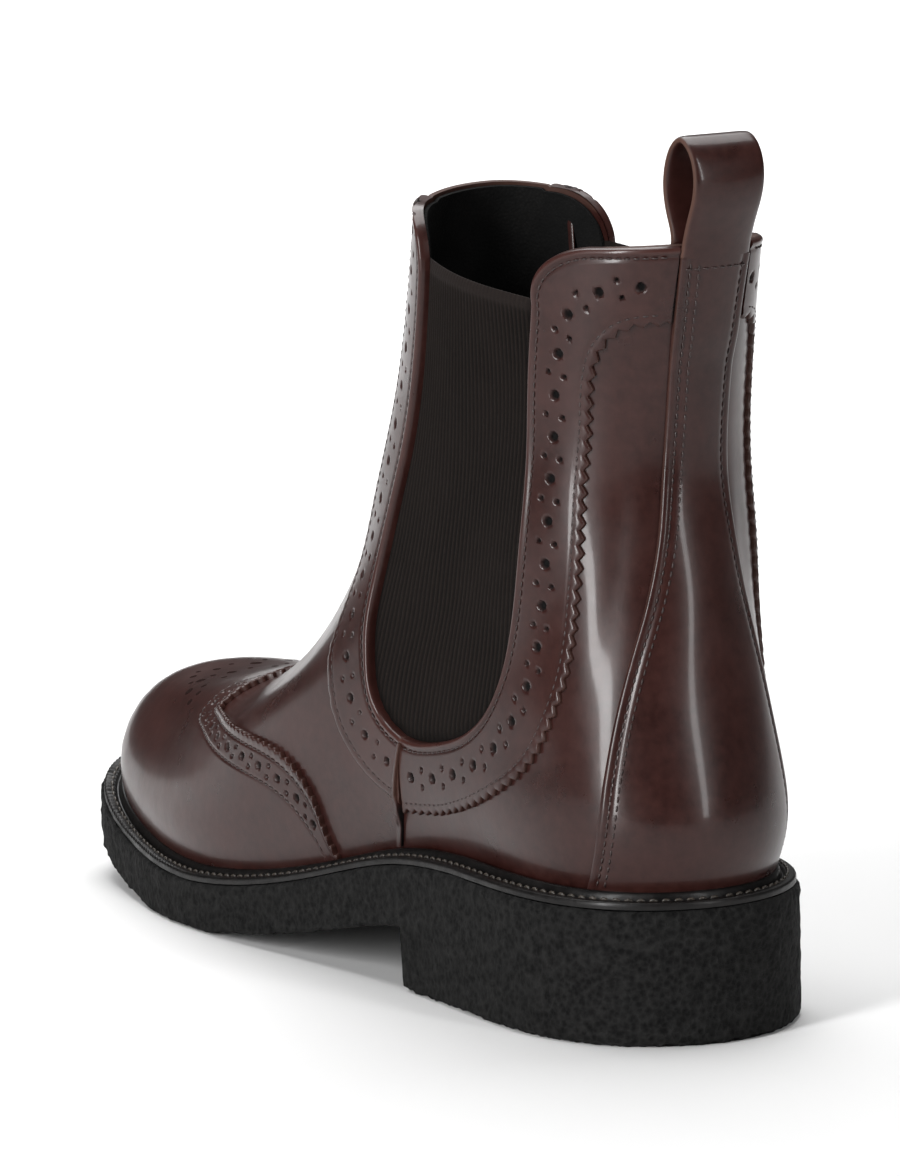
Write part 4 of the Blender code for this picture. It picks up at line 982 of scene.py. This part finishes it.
lines = [cap_line(CAP_HOLE_LINE + aside) for aside in (0.0, 1.6 * MM, -1.6 * MM)]
holes, radii = brogue_holes(lines, 8.2 * MM, 1.0 * MM, 0.5 * MM)
centres = lifted(holes[:, 0], holes[:, 1], OVERLAY)
near_edge = lifted(turn, row, lift)[18:]  # the rows that can have holes
deep = np.zeros(turn.shape)
deep[18:] = punched(near_edge.reshape(-1, 3), centres, radii).reshape(near_edge.shape[:2])
groove = bell(from_edge, CAP_EDGE_LINE, 0.4 * MM) + bell(from_edge, CAP_TOE_LINE, 0.4 * MM)
cut = np.zeros(turn.shape)
cut[-3:] = 0.15
# The punched holes carry a painted shade through the "dark" mark.
overlay("wing_cap", turn, row, lift - HOLE_DEPTH * deep - GROOVE_DEPTH * groove, {"dark": deep, "cut": cut})
for label, inside in (("edge", CAP_EDGE_LINE), ("toe", CAP_TOE_LINE)):
    leather_stitches("wing_cap_" + label, cap_line(inside))


def punched_shadow():
    """Painted shadow inside a punched hole: dark and fibrous, without any shine."""
    material, tree, shader = new_material("punched_shadow", 0.95, Specular_IOR_Level=0.03)
    fibre = noise(tree, object_place(tree), 1500, 2)
    base = blend_colours(tree, fibre, (0.006, 0.0028, 0.0024), (0.016, 0.008, 0.007))
    lead(tree, shader, Base_Color=base)
    return material


def ring_faces(index):
    """Quads between each closed ring of points and the next."""
    after = np.roll(index, -1, axis=1)
    return np.stack([index[:-1], after[:-1], after[1:], index[1:]], axis=-1).reshape(-1, 4)


# The rosette's holes: turn away from the toe's middle, row, and radius in millimetres, the same on both sides
ROSETTE = np.array([
    (0.0, 4.30, 1.3), (0.0, 4.62, 0.8), (0.034, 4.46, 1.1), (0.031, 4.17, 0.9), (0.066, 4.22, 1.1),
    (0.055, 4.02, 0.8), (0.092, 4.02, 1.0), (0.052, 4.52, 0.7), (0.083, 4.31, 0.7), (0.014, 4.14, 0.6),
    (0.016, 4.50, 0.6), (0.112, 3.90, 0.8), (0.048, 4.31, 0.7), (0.072, 4.07, 0.6), (0.100, 4.17, 0.7),
    (0.042, 3.98, 0.6),
])
# A hole's section from its rim to its middle: share of the radius, and height in millimetres
HOLE_SECTION = np.array([(1.3, -0.05), (1.2, 0.04), (1.1, 0.05), (0.6, 0.03), (0.02, 0.03)])
both = np.concatenate([ROSETTE, ROSETTE[2:] * (-1, 1, 1)])
around_hole = np.arange(12) / 12 * 2 * math.pi
centre = lifted(0.5 + both[:, 0], both[:, 1], OVERLAY)
outward = last_normal(0.5 + both[:, 0], both[:, 1])
right_way = unit(np.cross(outward, (0.0, 0.0, 1.0)))
up_way = np.cross(right_way, outward)
ring = right_way[:, None] * np.cos(around_hole)[:, None] + up_way[:, None] * np.sin(around_hole)[:, None]
points = (centre[:, None, None] + ring[:, None] * (HOLE_SECTION[:, 0:1, None] * both[:, None, 2:3, None] * MM)
          + outward[:, None, None] * HOLE_SECTION[:, 1:2, None] * MM)
ends = np.array([(48, 49, 50, 51), (48, 51, 52, 53), (48, 53, 54, 55), (48, 55, 56, 57), (48, 57, 58, 59),
                 (3, 2, 1, 0), (5, 4, 3, 0), (7, 6, 5, 0), (9, 8, 7, 0), (11, 10, 9, 0)])
hole_faces = np.concatenate([ring_faces(np.arange(60).reshape(5, 12)), ends])
faces = (hole_faces[None] + 60 * np.arange(len(both))[:, None, None]).reshape(-1, 4)
# Each rosette hole is a dark matt cup laid on the cap: a painted shadow in place of the punched hole.
make_piece("toe_rosette_shadow", points.reshape(-1, 3), [faces], punched_shadow(), sharp=80)


# Back strap and pull loop
# A strap of the leather covers the back seam, wide as a counter at its foot and narrow at the collar.
# It is sewn down both edges, and its loop is a folded strip that goes over and down inside the collar.

# Row of the last, and half the strap's width as a share of its width at the foot
STRAP_EDGE = np.array([(0.0, 0.50), (1.5, 0.49), (2.8, 0.445), (4.0, 0.375), (5.0, 0.305), (6.1, 0.225),
                       (7.1, 0.172), (8.3, 0.143), (9.4, 0.136), (11.0, 0.148)])
# The strap's border in millimetres: distance in from the edge, and lift
STRAP_BORDER = np.array([(0.0, -0.15), (0.0, 0.55), (0.08, 0.9), (0.3, 1.2), (0.7, 1.35), (1.2, 1.36),
                         (1.7, 1.25), (2.1, 1.02), (2.35, 0.98), (2.6, 1.02), (3.0, 1.2), (3.6, 1.28)]) * MM
STRAP_FOOT_WIDTH, STRAP_SHIFT = 64 * MM, 1.4 * MM


def turns_at(rows_up, reach):
    """Turns of points at distances from the heel's back along each row's ring, one distance for each row."""
    fine = np.linspace(0, 0.2, 120)[:, None]
    return read_columns(reach, path_length(last_point(fine, rows_up[None, :])), fine)


def row_at_height(z):
    """Row of the last whose heel back lies at the height z."""
    rows_up = np.linspace(0, TOP_ROW, 400)
    return np.interp(z, last_point(0 * rows_up, rows_up)[:, 2], rows_up)


collar_back = collar_height(HEEL_SEAT_BACK + LAST_ROWS[-1, 2] * LAST_LENGTH)
rows_up = np.linspace(foot_row(0.0, 3.6 * MM), row_at_height(collar_back - 2.6 * MM), 230)
half = spline_weights(STRAP_EDGE[:, 0], rows_up) @ STRAP_EDGE[:, 1] * STRAP_FOOT_WIDTH
edge_turn = turns_at(rows_up, half)
shift = turns_at(rows_up, STRAP_SHIFT * np.clip((rows_up - 2.8) / 3.0, 0, 1))
inner_share = np.linspace(-1, 1, 40)[1:-1]
left = -1 + STRAP_BORDER[:, 0:1] / half
edge_at = 1 - STRAP_BORDER[-1, 0] / half
share = np.concatenate([left, inner_share[:, None] * edge_at, -left[::-1]])
lift_column = np.r_[STRAP_BORDER[:, 1], np.full(len(inner_share), 1.3 * MM), STRAP_BORDER[::-1, 1]]
turn = edge_turn * share + shift
row = np.broadcast_to(rows_up, turn.shape)
over_bands = 0.75 * MM * ease((rows_up - 9.7) / 0.5)
lift = lift_column[:, None] + over_bands * (lift_column[:, None] > 0)
cut = np.zeros(turn.shape)
# The strap's edge walls take the lighter cut-edge colour with its painted highlight.
cut[:3] = cut[-3:] = 0.3
overlay("back_strap", turn, row, lift, {"cut": cut})
STRAP_SEAMS = (("inner", 1, 2.3, 0.98), ("outer", -1, 2.3, 0.98), ("outer_second", -1, 4.2, 1.28))
for word, sign, inside, stitch_lift in STRAP_SEAMS:
    line = sign * edge_turn * (1 - inside * MM / half) + shift
    leather_stitches("back_strap_" + word, np.stack([line, rows_up], axis=1), stitch_lift * MM + over_bands)

LOOP_WIDTH, LOOP_THICKNESS, LOOP_HEIGHT = 19.6 * MM, 1.9 * MM, 25.8 * MM
LOOP_TAIL, LOOP_JOINT = 15 * MM, 2.6 * MM
BULGE_BACK, BULGE_FRONT, CROSS_STITCHES = 4.6 * MM, 4.2 * MM, 5.2 * MM
half_thick = LOOP_THICKNESS / 2
rise = LOOP_HEIGHT - half_thick
wall_row = row_at_height(collar_back + np.array([-LOOP_JOINT, -LOOP_JOINT / 2, 0.0]))
tail_row = row_at_height(collar_back - np.linspace(0.0, LOOP_TAIL, 4))
legs = (last_point(0 * wall_row, wall_row) + 1.3 * MM * last_normal(0 * wall_row, wall_row))[:, 1:]
tail = (last_point(0 * tail_row, tail_row) - 3.75 * MM * last_normal(0 * tail_row, tail_row))[:, 1:]
back, front_leg = legs[-1], tail[0]
middle = (back[0] + front_leg[0]) / 2
arch_y = [back[0] - 0.45 * BULGE_BACK, back[0] - 0.95 * BULGE_BACK, back[0] - 0.90 * BULGE_BACK,
          middle - 0.45 * BULGE_BACK - half_thick, middle, middle + 0.45 * BULGE_FRONT + half_thick,
          front_leg[0] + 0.85 * BULGE_FRONT, front_leg[0] + 0.95 * BULGE_FRONT,
          front_leg[0] + 0.45 * BULGE_FRONT]
arch_z = collar_back + np.array([0.24, 0.50, 0.74, 0.95, 1.0, 0.95, 0.74, 0.50, 0.24]) * rise
knots = np.concatenate([legs, np.stack([arch_y, arch_z], axis=1), tail])
reach = path_length(knots)
fine = spline_weights(reach, np.linspace(0, reach[-1], 700)) @ knots
path = at_distance(fine, fine, np.linspace(0, path_length(fine)[-1], 150))
ahead = np.gradient(path, axis=0)
out = unit(np.stack([-ahead[:, 1], ahead[:, 0]], axis=1))
around = np.linspace(-0.09, 0.09, 161)
ring = last_point(around, np.full(161, TOP_ROW))
spread_x = LOOP_WIDTH / 2 * np.sin(np.linspace(-math.pi / 2, math.pi / 2, 33))
thin = half_thick * np.sqrt(np.clip(1 - (np.abs(spread_x) / (LOOP_WIDTH / 2)) ** 14, 0.02, 1))
bow = np.interp(spread_x + STRAP_SHIFT, ring[:, 0] - ring[80, 0], ring[:, 1] - ring[80, 1])
fade = np.clip(1 - (path[:, 1] - collar_back) / (0.9 * LOOP_HEIGHT), 0, 1)
middle_x = last_point(0 * path[:, 1], row_at_height(np.minimum(path[:, 1], collar_back)))[:, 0] + STRAP_SHIFT
sheets = []
for sign in (1, -1):
    y = path[:, 0:1] + fade[:, None] * bow + sign * out[:, 0:1] * thin
    z = path[:, 1:2] + sign * out[:, 1:2] * thin
    sheets.append(np.stack([np.broadcast_to(middle_x[:, None] + spread_x, y.shape), y, z], axis=-1))
# The loop's cut sides are lighter: raw edge colour with a painted highlight along them.
cut = np.broadcast_to(0.7 * ease((np.abs(spread_x) / (LOOP_WIDTH / 2) - 0.94) / 0.05), y.shape)
marks = {"cut": np.r_[cut.ravel(), cut.ravel()]}
faces = sheet_faces(*y.shape)
loop = make_piece("pull_loop_leather", in_one(*sheets), faces, burgundy, marks)
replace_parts(loop, "pull_loop")
line = edge_turn[-1] * np.linspace(-0.9, 0.9, 30) + shift[-1]
line = np.stack([line, np.full(30, row_at_height(collar_back - CROSS_STITCHES))], axis=1)
leather_stitches("back_strap_cross", line, 2.05 * MM, ends=(0.0, 0.0))


# Welt
# A black waxed leather strip is sewn round the upper's foot. It shows a rounded bead against the upper,
# a groove, and a flat shelf outside it that carries the sole stitches and, at the toe, wheeled ribs.

SOLE_REACH, WELT_INSET = 8.4 * MM, 0.9 * MM


def sole_plan(turn):
    """Plan of the sole's edge, the feather line moved outwards by its reach, and the outward direction."""
    turn = np.asarray(turn, float)
    feather = last_point(turn, 0 * turn)
    along, _ = last_slopes(turn, 0 * turn)
    out = unit(np.stack([along[:, 1], -along[:, 0]], axis=1))
    return feather[:, :2] + SOLE_REACH * out, out


def even_turns(count):
    """Turns of points that lie evenly along the sole's edge."""
    fine = np.linspace(0, 1, 4001)
    plan, _ = sole_plan(fine)
    run = path_length(plan)
    return np.interp(np.arange(count) / count * run[-1], run, fine), run[-1]


def waxed_leather():
    """Black waxed welt leather: deep colour with brown where the wheel and the knife have bitten, and a
    painted shade near black in the groove beside the bead.
    """
    material, tree, shader = new_material("black_welt_leather", 0.32, Coat_Weight=0.1, Coat_Roughness=0.2,
                                          Specular_IOR_Level=0.2)
    place = object_place(tree)
    bite = clouds(tree, place, 300, 4, 0.65, 0.35, 0.7)
    base = blend_colours(tree, bite, (0.002, 0.0017, 0.0017), (0.006, 0.0048, 0.0045))
    # Painted shade: near black where the "dark" mark lies, in the groove beside the bead.
    base = blend_colours(tree, times(tree, mark(tree, "dark"), 0.85), base, (0.001, 0.001, 0.001))
    normal = raised(tree, noise(tree, place, 900, 4, 0.6), 0.12 * MM, strength=0.6)
    rough = clouds(tree, place, 180, 4, 0.6, 0.3, 0.7, 0.3, 0.55)
    lead(tree, shader, Base_Color=base, Roughness=rough, Normal=normal)
    return material


# The welt's section in millimetres: distance out from the upper, height over the sole, share of the ribs
WELT_SECTION = np.array([
    (0.0, 0.0, 0), (0.0, 1.6, 0), (0.15, 2.5, 0), (0.5, 3.1, 0), (1.0, 3.4, 0), (1.5, 3.35, 0),
    (1.95, 3.0, 0), (2.3, 2.3, 0), (2.5, 1.5, 0), (2.7, 1.15, 0), (3.0, 1.1, 0), (3.25, 1.35, 0),
    (3.5, 1.65, 0.2), (3.9, 1.8, 0.7), (4.4, 1.85, 1), (4.9, 1.85, 1), (5.4, 1.84, 1), (5.9, 1.82, 1),
    (6.3, 1.72, 0.9), (6.55, 1.5, 0.6), (6.7, 1.2, 0.3), (6.72, 0.7, 0.1), (6.7, 0.0, 0),
])
SECTION_WIDTH, BEAD_POINTS, WELT_COLUMNS, UPPER_GAP = WELT_SECTION[:, 0].max(), 13, 1700, 0.45 * MM
RIB_DEPTH, RIB_PITCH, STITCH_OUT, SHELF_HEIGHT = 0.32 * MM, 1.85 * MM, 4.35, 1.85 * MM
turn, girth = even_turns(WELT_COLUMNS)
foot_points = lifted(turn, 0 * turn, UPPER_GAP)[:, :2]
head_points = lifted(turn, foot_row(turn, 3.4 * MM), UPPER_GAP)[:, :2]
plan, out = sole_plan(turn)
edge_points = plan - out * WELT_INSET
direction = unit(edge_points - head_points)
shelf = np.linalg.norm(edge_points - head_points, axis=1)
reach = WELT_SECTION[:, 0:1] / SECTION_WIDTH * shelf
reach[1:BEAD_POINTS] = np.minimum(WELT_SECTION[1:BEAD_POINTS, 0:1] * MM, reach[1:BEAD_POINTS])
base = np.broadcast_to(head_points, reach.shape + (2,)).copy()
base[0] = foot_points
plan_points = base + direction * reach[..., None]
ribs_round = np.round(girth / RIB_PITCH)
toe_share = ease((0.20 - np.abs(turn - 0.5)) / 0.05)
rib = RIB_DEPTH * np.cos(2 * math.pi * ribs_round * np.arange(WELT_COLUMNS) / WELT_COLUMNS) * toe_share
height = WELT_SECTION[:, 1:2] * MM + WELT_SECTION[:, 2:3] * rib
z = sole_top(plan_points[..., 1]) + STAND_OFF + height
index = np.arange(z.size).reshape(z.shape)
faces = ring_faces(np.concatenate([index, index[:1]]))
dark = np.broadcast_to(bell(WELT_SECTION[:, 0:1], 2.85, 0.35), z.shape)  # painted shade in the groove beside the bead
points = np.concatenate([plan_points, z[..., None]], axis=-1)
welt = make_piece("welt_strip", points, [faces], waxed_leather(), {"dark": dark})
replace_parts(welt, "welt")
stitch_plan = head_points + direction * (shelf * STITCH_OUT / SECTION_WIDTH)[:, None]
stitch_path = np.c_[stitch_plan, sole_top(stitch_plan[:, 1]) + STAND_OFF + SHELF_HEIGHT]
stitch_path = np.concatenate([stitch_path, stitch_path[:1]])
sole_thread = thread("waxed_sole_thread", (0.006, 0.005, 0.004), (0.045, 0.034, 0.024))
stitch_row("sole_stitches", stitch_path, np.tile([0.0, 0.0, 1.0], (len(stitch_path), 1)), 3.0 * MM, 2.3 * MM,
           0.8 * MM, 0.1 * MM, sole_thread)


# Sole
# Sole and heel are one block of black crepe rubber, sewn to the welt through its edge. Its sides are
# rough and crumbly as the block is cut, and its lower edge is ragged.

HEEL_BREAST, BREAST_LEAN = 45 * MM, 1.2 * MM


def lattice_noise(points, size, seed):
    """Smooth random heights from -1 to 1: hashed values at the corners of cubes of the given size,
    eased between the eight corners round each point."""
    at = points / size
    low = np.floor(at).astype(np.int64)
    share = ease(at - low)
    total = np.zeros(points.shape[:-1])
    for corner in np.ndindex(2, 2, 2):
        spot = low + corner
        mixed = (spot * (73856093, 19349663, 83492791))
        mixed = mixed[..., 0] ^ mixed[..., 1] ^ mixed[..., 2] ^ (seed * 2654435761)
        mixed = ((mixed ^ (mixed >> 13)) * 1274126177) & 0xFFFFFFFF
        value = ((mixed ^ (mixed >> 16)) & 0xFFFF) / 32767.5 - 1
        weight = np.prod(np.where(np.array(corner) == 1, share, 1 - share), axis=-1)
        total += weight * value
    return total


def crumb(points):
    """Crumbly surface of the crepe: three sizes of lump on top of each other."""
    return (0.26 * lattice_noise(points, 3.4 * MM, 1) + 0.20 * lattice_noise(points, 1.7 * MM, 2)
            + 0.12 * lattice_noise(points, 0.9 * MM, 3)) * MM


def crepe():
    """Black crepe rubber: matt, greyer on its crests, with crumbs and pits as relief."""
    material, tree, shader = new_material("black_crepe", 0.8, Specular_IOR_Level=0.12)
    place = object_place(tree)
    lump = noise(tree, place, 420, 5, 0.7)
    pit = cells(tree, place, 620)
    grey = spread(tree, reckon(tree, "ADD", lump, times(tree, pit, 0.5)), 0.55, 1.0, 0.0, 1.0)
    base = blend_colours(tree, grey, (0.0022, 0.0022, 0.0022), (0.013, 0.0128, 0.0125))
    normal = raised(tree, lump, 0.8 * MM, strength=0.8)
    lead(tree, shader, Base_Color=base, Normal=raised(tree, pit, 0.5 * MM, normal, 0.7))
    return material


fine = np.linspace(0, 0.5, 1500)
inner_y, outer_y = sole_plan(fine)[0][:, 1], sole_plan(1 - fine)[0][:, 1]
places = inner_y[0] + (1 - np.cos(np.linspace(0, math.pi, 330))) / 2 * (inner_y[-1] - inner_y[0])
places = places[np.abs(places - HEEL_BREAST - BREAST_LEAN / 2) > 1.2 * MM]
places = np.sort(np.r_[places, HEEL_BREAST + BREAST_LEAN * np.linspace(0, 1, 14)])
count = len(places)  # stations from the heel to the toe
inner_turn, outer_turn = np.interp(places, inner_y, fine), 1 - np.interp(places, outer_y, fine)
turn = np.r_[inner_turn, outer_turn[-2:0:-1]]
plan, out = sole_plan(turn)
y = np.r_[places, places[-2:0:-1]]
top = sole_top(y)
lift_share = np.clip(spline_table(SOLE_LINE, station(y)), 0, 1)
under = WAIST_LIFT * lift_share[:, 0] + lift_share[:, 1] * TOE_SPRING
flat_share = ease((station(y) - 0.60) / 0.06) * ease((0.80 - station(y)) / 0.06)
under = under * np.clip((y - HEEL_BREAST) / BREAST_LEAN, 0, 1) * (1 - flat_share)
levels, ROUNDED = 27, 0.05
t = np.linspace(0, 1, levels)[:, None]
round_low, round_high = (np.where(up > ROUNDED, 1, np.sqrt(np.clip(1 - (1 - up / ROUNDED) ** 2, 0, 1)))
                         for up in (t, 1 - t))
inset = 1.2 * MM * (1 - round_low) + 0.8 * MM * (1 - round_high)
side_plan = plan[None] - out[None] * inset[..., None]
side_z = under + (top - under) * t
wall = np.concatenate([side_plan, side_z[..., None]], axis=-1)
rough = crumb(wall) - 0.15 * MM
wall[..., :2] += out[None] * rough[..., None]
low_edge = bell(t * (top - under), 0, 1.6 * MM)
wall[..., 2] += low_edge * np.abs(crumb(wall * 1.3)) * 1.6
wall[..., 2] = np.maximum(wall[..., 2], 0.0)
wall[-1, :, 2] = top
size = 2 * count - 2
ring_index = np.arange(levels * size).reshape(levels, size)
faces = [ring_faces(ring_index)]
points = [wall.reshape(-1, 3)]
start = levels * size
across = np.linspace(0, 1, 34)[1:-1]
for level, flip in ((0, True), (levels - 1, False)):
    inner_ring = ring_index[level, :count]
    ring = ring_index[level]
    outer_ring = np.r_[ring[0], ring[:count - 1:-1][:count - 2], ring[count - 1]]
    a, b = wall[level, :count], wall[level][outer_ring - level * size]
    share = across[None, :, None]
    fill = a[1:-1, None] * (1 - share) + b[1:-1, None] * share
    low = under[1:count - 1, None] + np.abs(crumb(fill)) * 0.8
    fill[..., 2] = np.maximum(low, 0.0) if flip else top[1:count - 1, None]
    number = start + np.arange(fill.shape[0] * fill.shape[1]).reshape(fill.shape[:2])
    start += number.size
    points.append(fill.reshape(-1, 3))
    grid = np.concatenate([inner_ring[1:-1, None], number, outer_ring[1:-1, None]], axis=1)
    quads = np.stack([grid[:-1, :-1], grid[:-1, 1:], grid[1:, 1:], grid[1:, :-1]], axis=-1).reshape(-1, 4)
    heel_fan = np.stack([np.full(grid.shape[1] - 1, inner_ring[0]), grid[0, 1:], grid[0, :-1]], axis=1)
    toe_fan = np.stack([np.full(grid.shape[1] - 1, inner_ring[-1]), grid[-1, :-1], grid[-1, 1:]], axis=1)
    for part, reverse in ((quads, flip), (heel_fan, not flip), (toe_fan, not flip)):
        faces.append(part[:, ::-1] if reverse else part)
sole = make_piece("crepe_sole", np.concatenate(points), faces, crepe(), sharp=180)
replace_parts(sole, "outsole")


# Floor, light and camera
# A plain pale floor, one large soft light above and tall soft boxes at the sides, whose reflections run
# down the polished leather. The camera looks at the boot's outer side from behind, as in the picture.

def pale_floor():
    """Matt white studio floor with the faintest unevenness."""
    material, tree, shader = new_material("pale_floor", 0.85, Specular_IOR_Level=0.2)
    base = blend_colours(tree, noise(tree, object_place(tree), 3, 3), (0.64, 0.64, 0.64), (0.67, 0.67, 0.67))
    lead(tree, shader, Base_Color=base)
    return material


mesh = bpy.data.meshes.new("floor")
mesh.from_pydata([(-7, -7, 0), (7, -7, 0), (7, 7, 0), (-7, 7, 0)], [], [(0, 1, 2, 3)])
mesh.materials.append(pale_floor())
floor = bpy.data.objects.new("floor", mesh)
bpy.context.scene.collection.objects.link(floor)
floor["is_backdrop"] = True

world = bpy.data.worlds.new("studio")
world.use_nodes = True
world.node_tree.nodes["Background"].inputs["Color"].default_value = (1, 1, 1, 1)
world.node_tree.nodes["Background"].inputs["Strength"].default_value = 0.06
bpy.context.scene.world = world
bpy.context.scene.view_settings.view_transform = "Standard"


def toward(azimuth, elevation):
    """Direction from the boot to a place at an azimuth, counted from the heel's side, and an elevation."""
    flat = math.cos(elevation)
    return Vector((math.sin(azimuth) * flat, -math.cos(azimuth) * flat, math.sin(elevation)))


def soft_box(name, azimuth, elevation, distance, wide, tall, power, target=(0, 0.07, 0.1), fan=180):
    """A soft light of the given size that looks at a place from an azimuth and an elevation, with its beam
    kept within a fan of so many degrees."""
    back = toward(math.radians(azimuth), math.radians(elevation))
    data = bpy.data.lights.new(name, "AREA")
    data.shape, data.size, data.size_y, data.energy = "RECTANGLE", wide, tall, power
    data.spread = math.radians(fan)
    lamp = bpy.data.objects.new(name, data)
    turned = back.to_track_quat("Z", "Y").to_matrix().to_4x4()
    lamp.matrix_world = Matrix.Translation(Vector(target) + distance * back) @ turned
    bpy.context.scene.collection.objects.link(lamp)


soft_box("overhead", 0, 89.9, 2.0, 2.0, 2.0, 38, target=(0.42, 0.90, 0.0), fan=120)
soft_box("far_overhead", 0, 89.9, 2.4, 3.0, 3.0, 90, target=(1.6, 3.0, 0.0), fan=120)
soft_box("left_strip", -70, 20, 1.9, 0.34, 1.7, 46)
soft_box("right_strip", 14, 22, 1.9, 0.18, 1.5, 12)

AZIMUTH, ELEVATION, ROLL, DISTANCE = math.radians(-30.0), math.radians(10.0), math.radians(-0.9), 2.150
LOOKS_AT = Vector((0, 0.068, 0.090))
back = toward(AZIMUTH, ELEVATION)
right = Vector((math.cos(AZIMUTH), math.sin(AZIMUTH), 0))
up_vector = back.cross(right)
right_rolled = math.cos(ROLL) * right + math.sin(ROLL) * up_vector
up_rolled = back.cross(right_rolled)
lens = bpy.data.cameras.new("camera")
lens.sensor_fit, lens.sensor_width = "HORIZONTAL", 36
lens.lens = 36 * 6300 * 1.38 / 900
lens.shift_x, lens.shift_y = -0.0271, 0.0149
lens.clip_start, lens.clip_end = 0.05, 50
camera = bpy.data.objects.new("camera", lens)
turned = Matrix((right_rolled, up_rolled, back)).transposed().to_4x4()
camera.matrix_world = Matrix.Translation(LOOKS_AT + DISTANCE * back) @ turned
bpy.context.scene.collection.objects.link(camera)
bpy.context.scene.camera = camera

low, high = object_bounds()
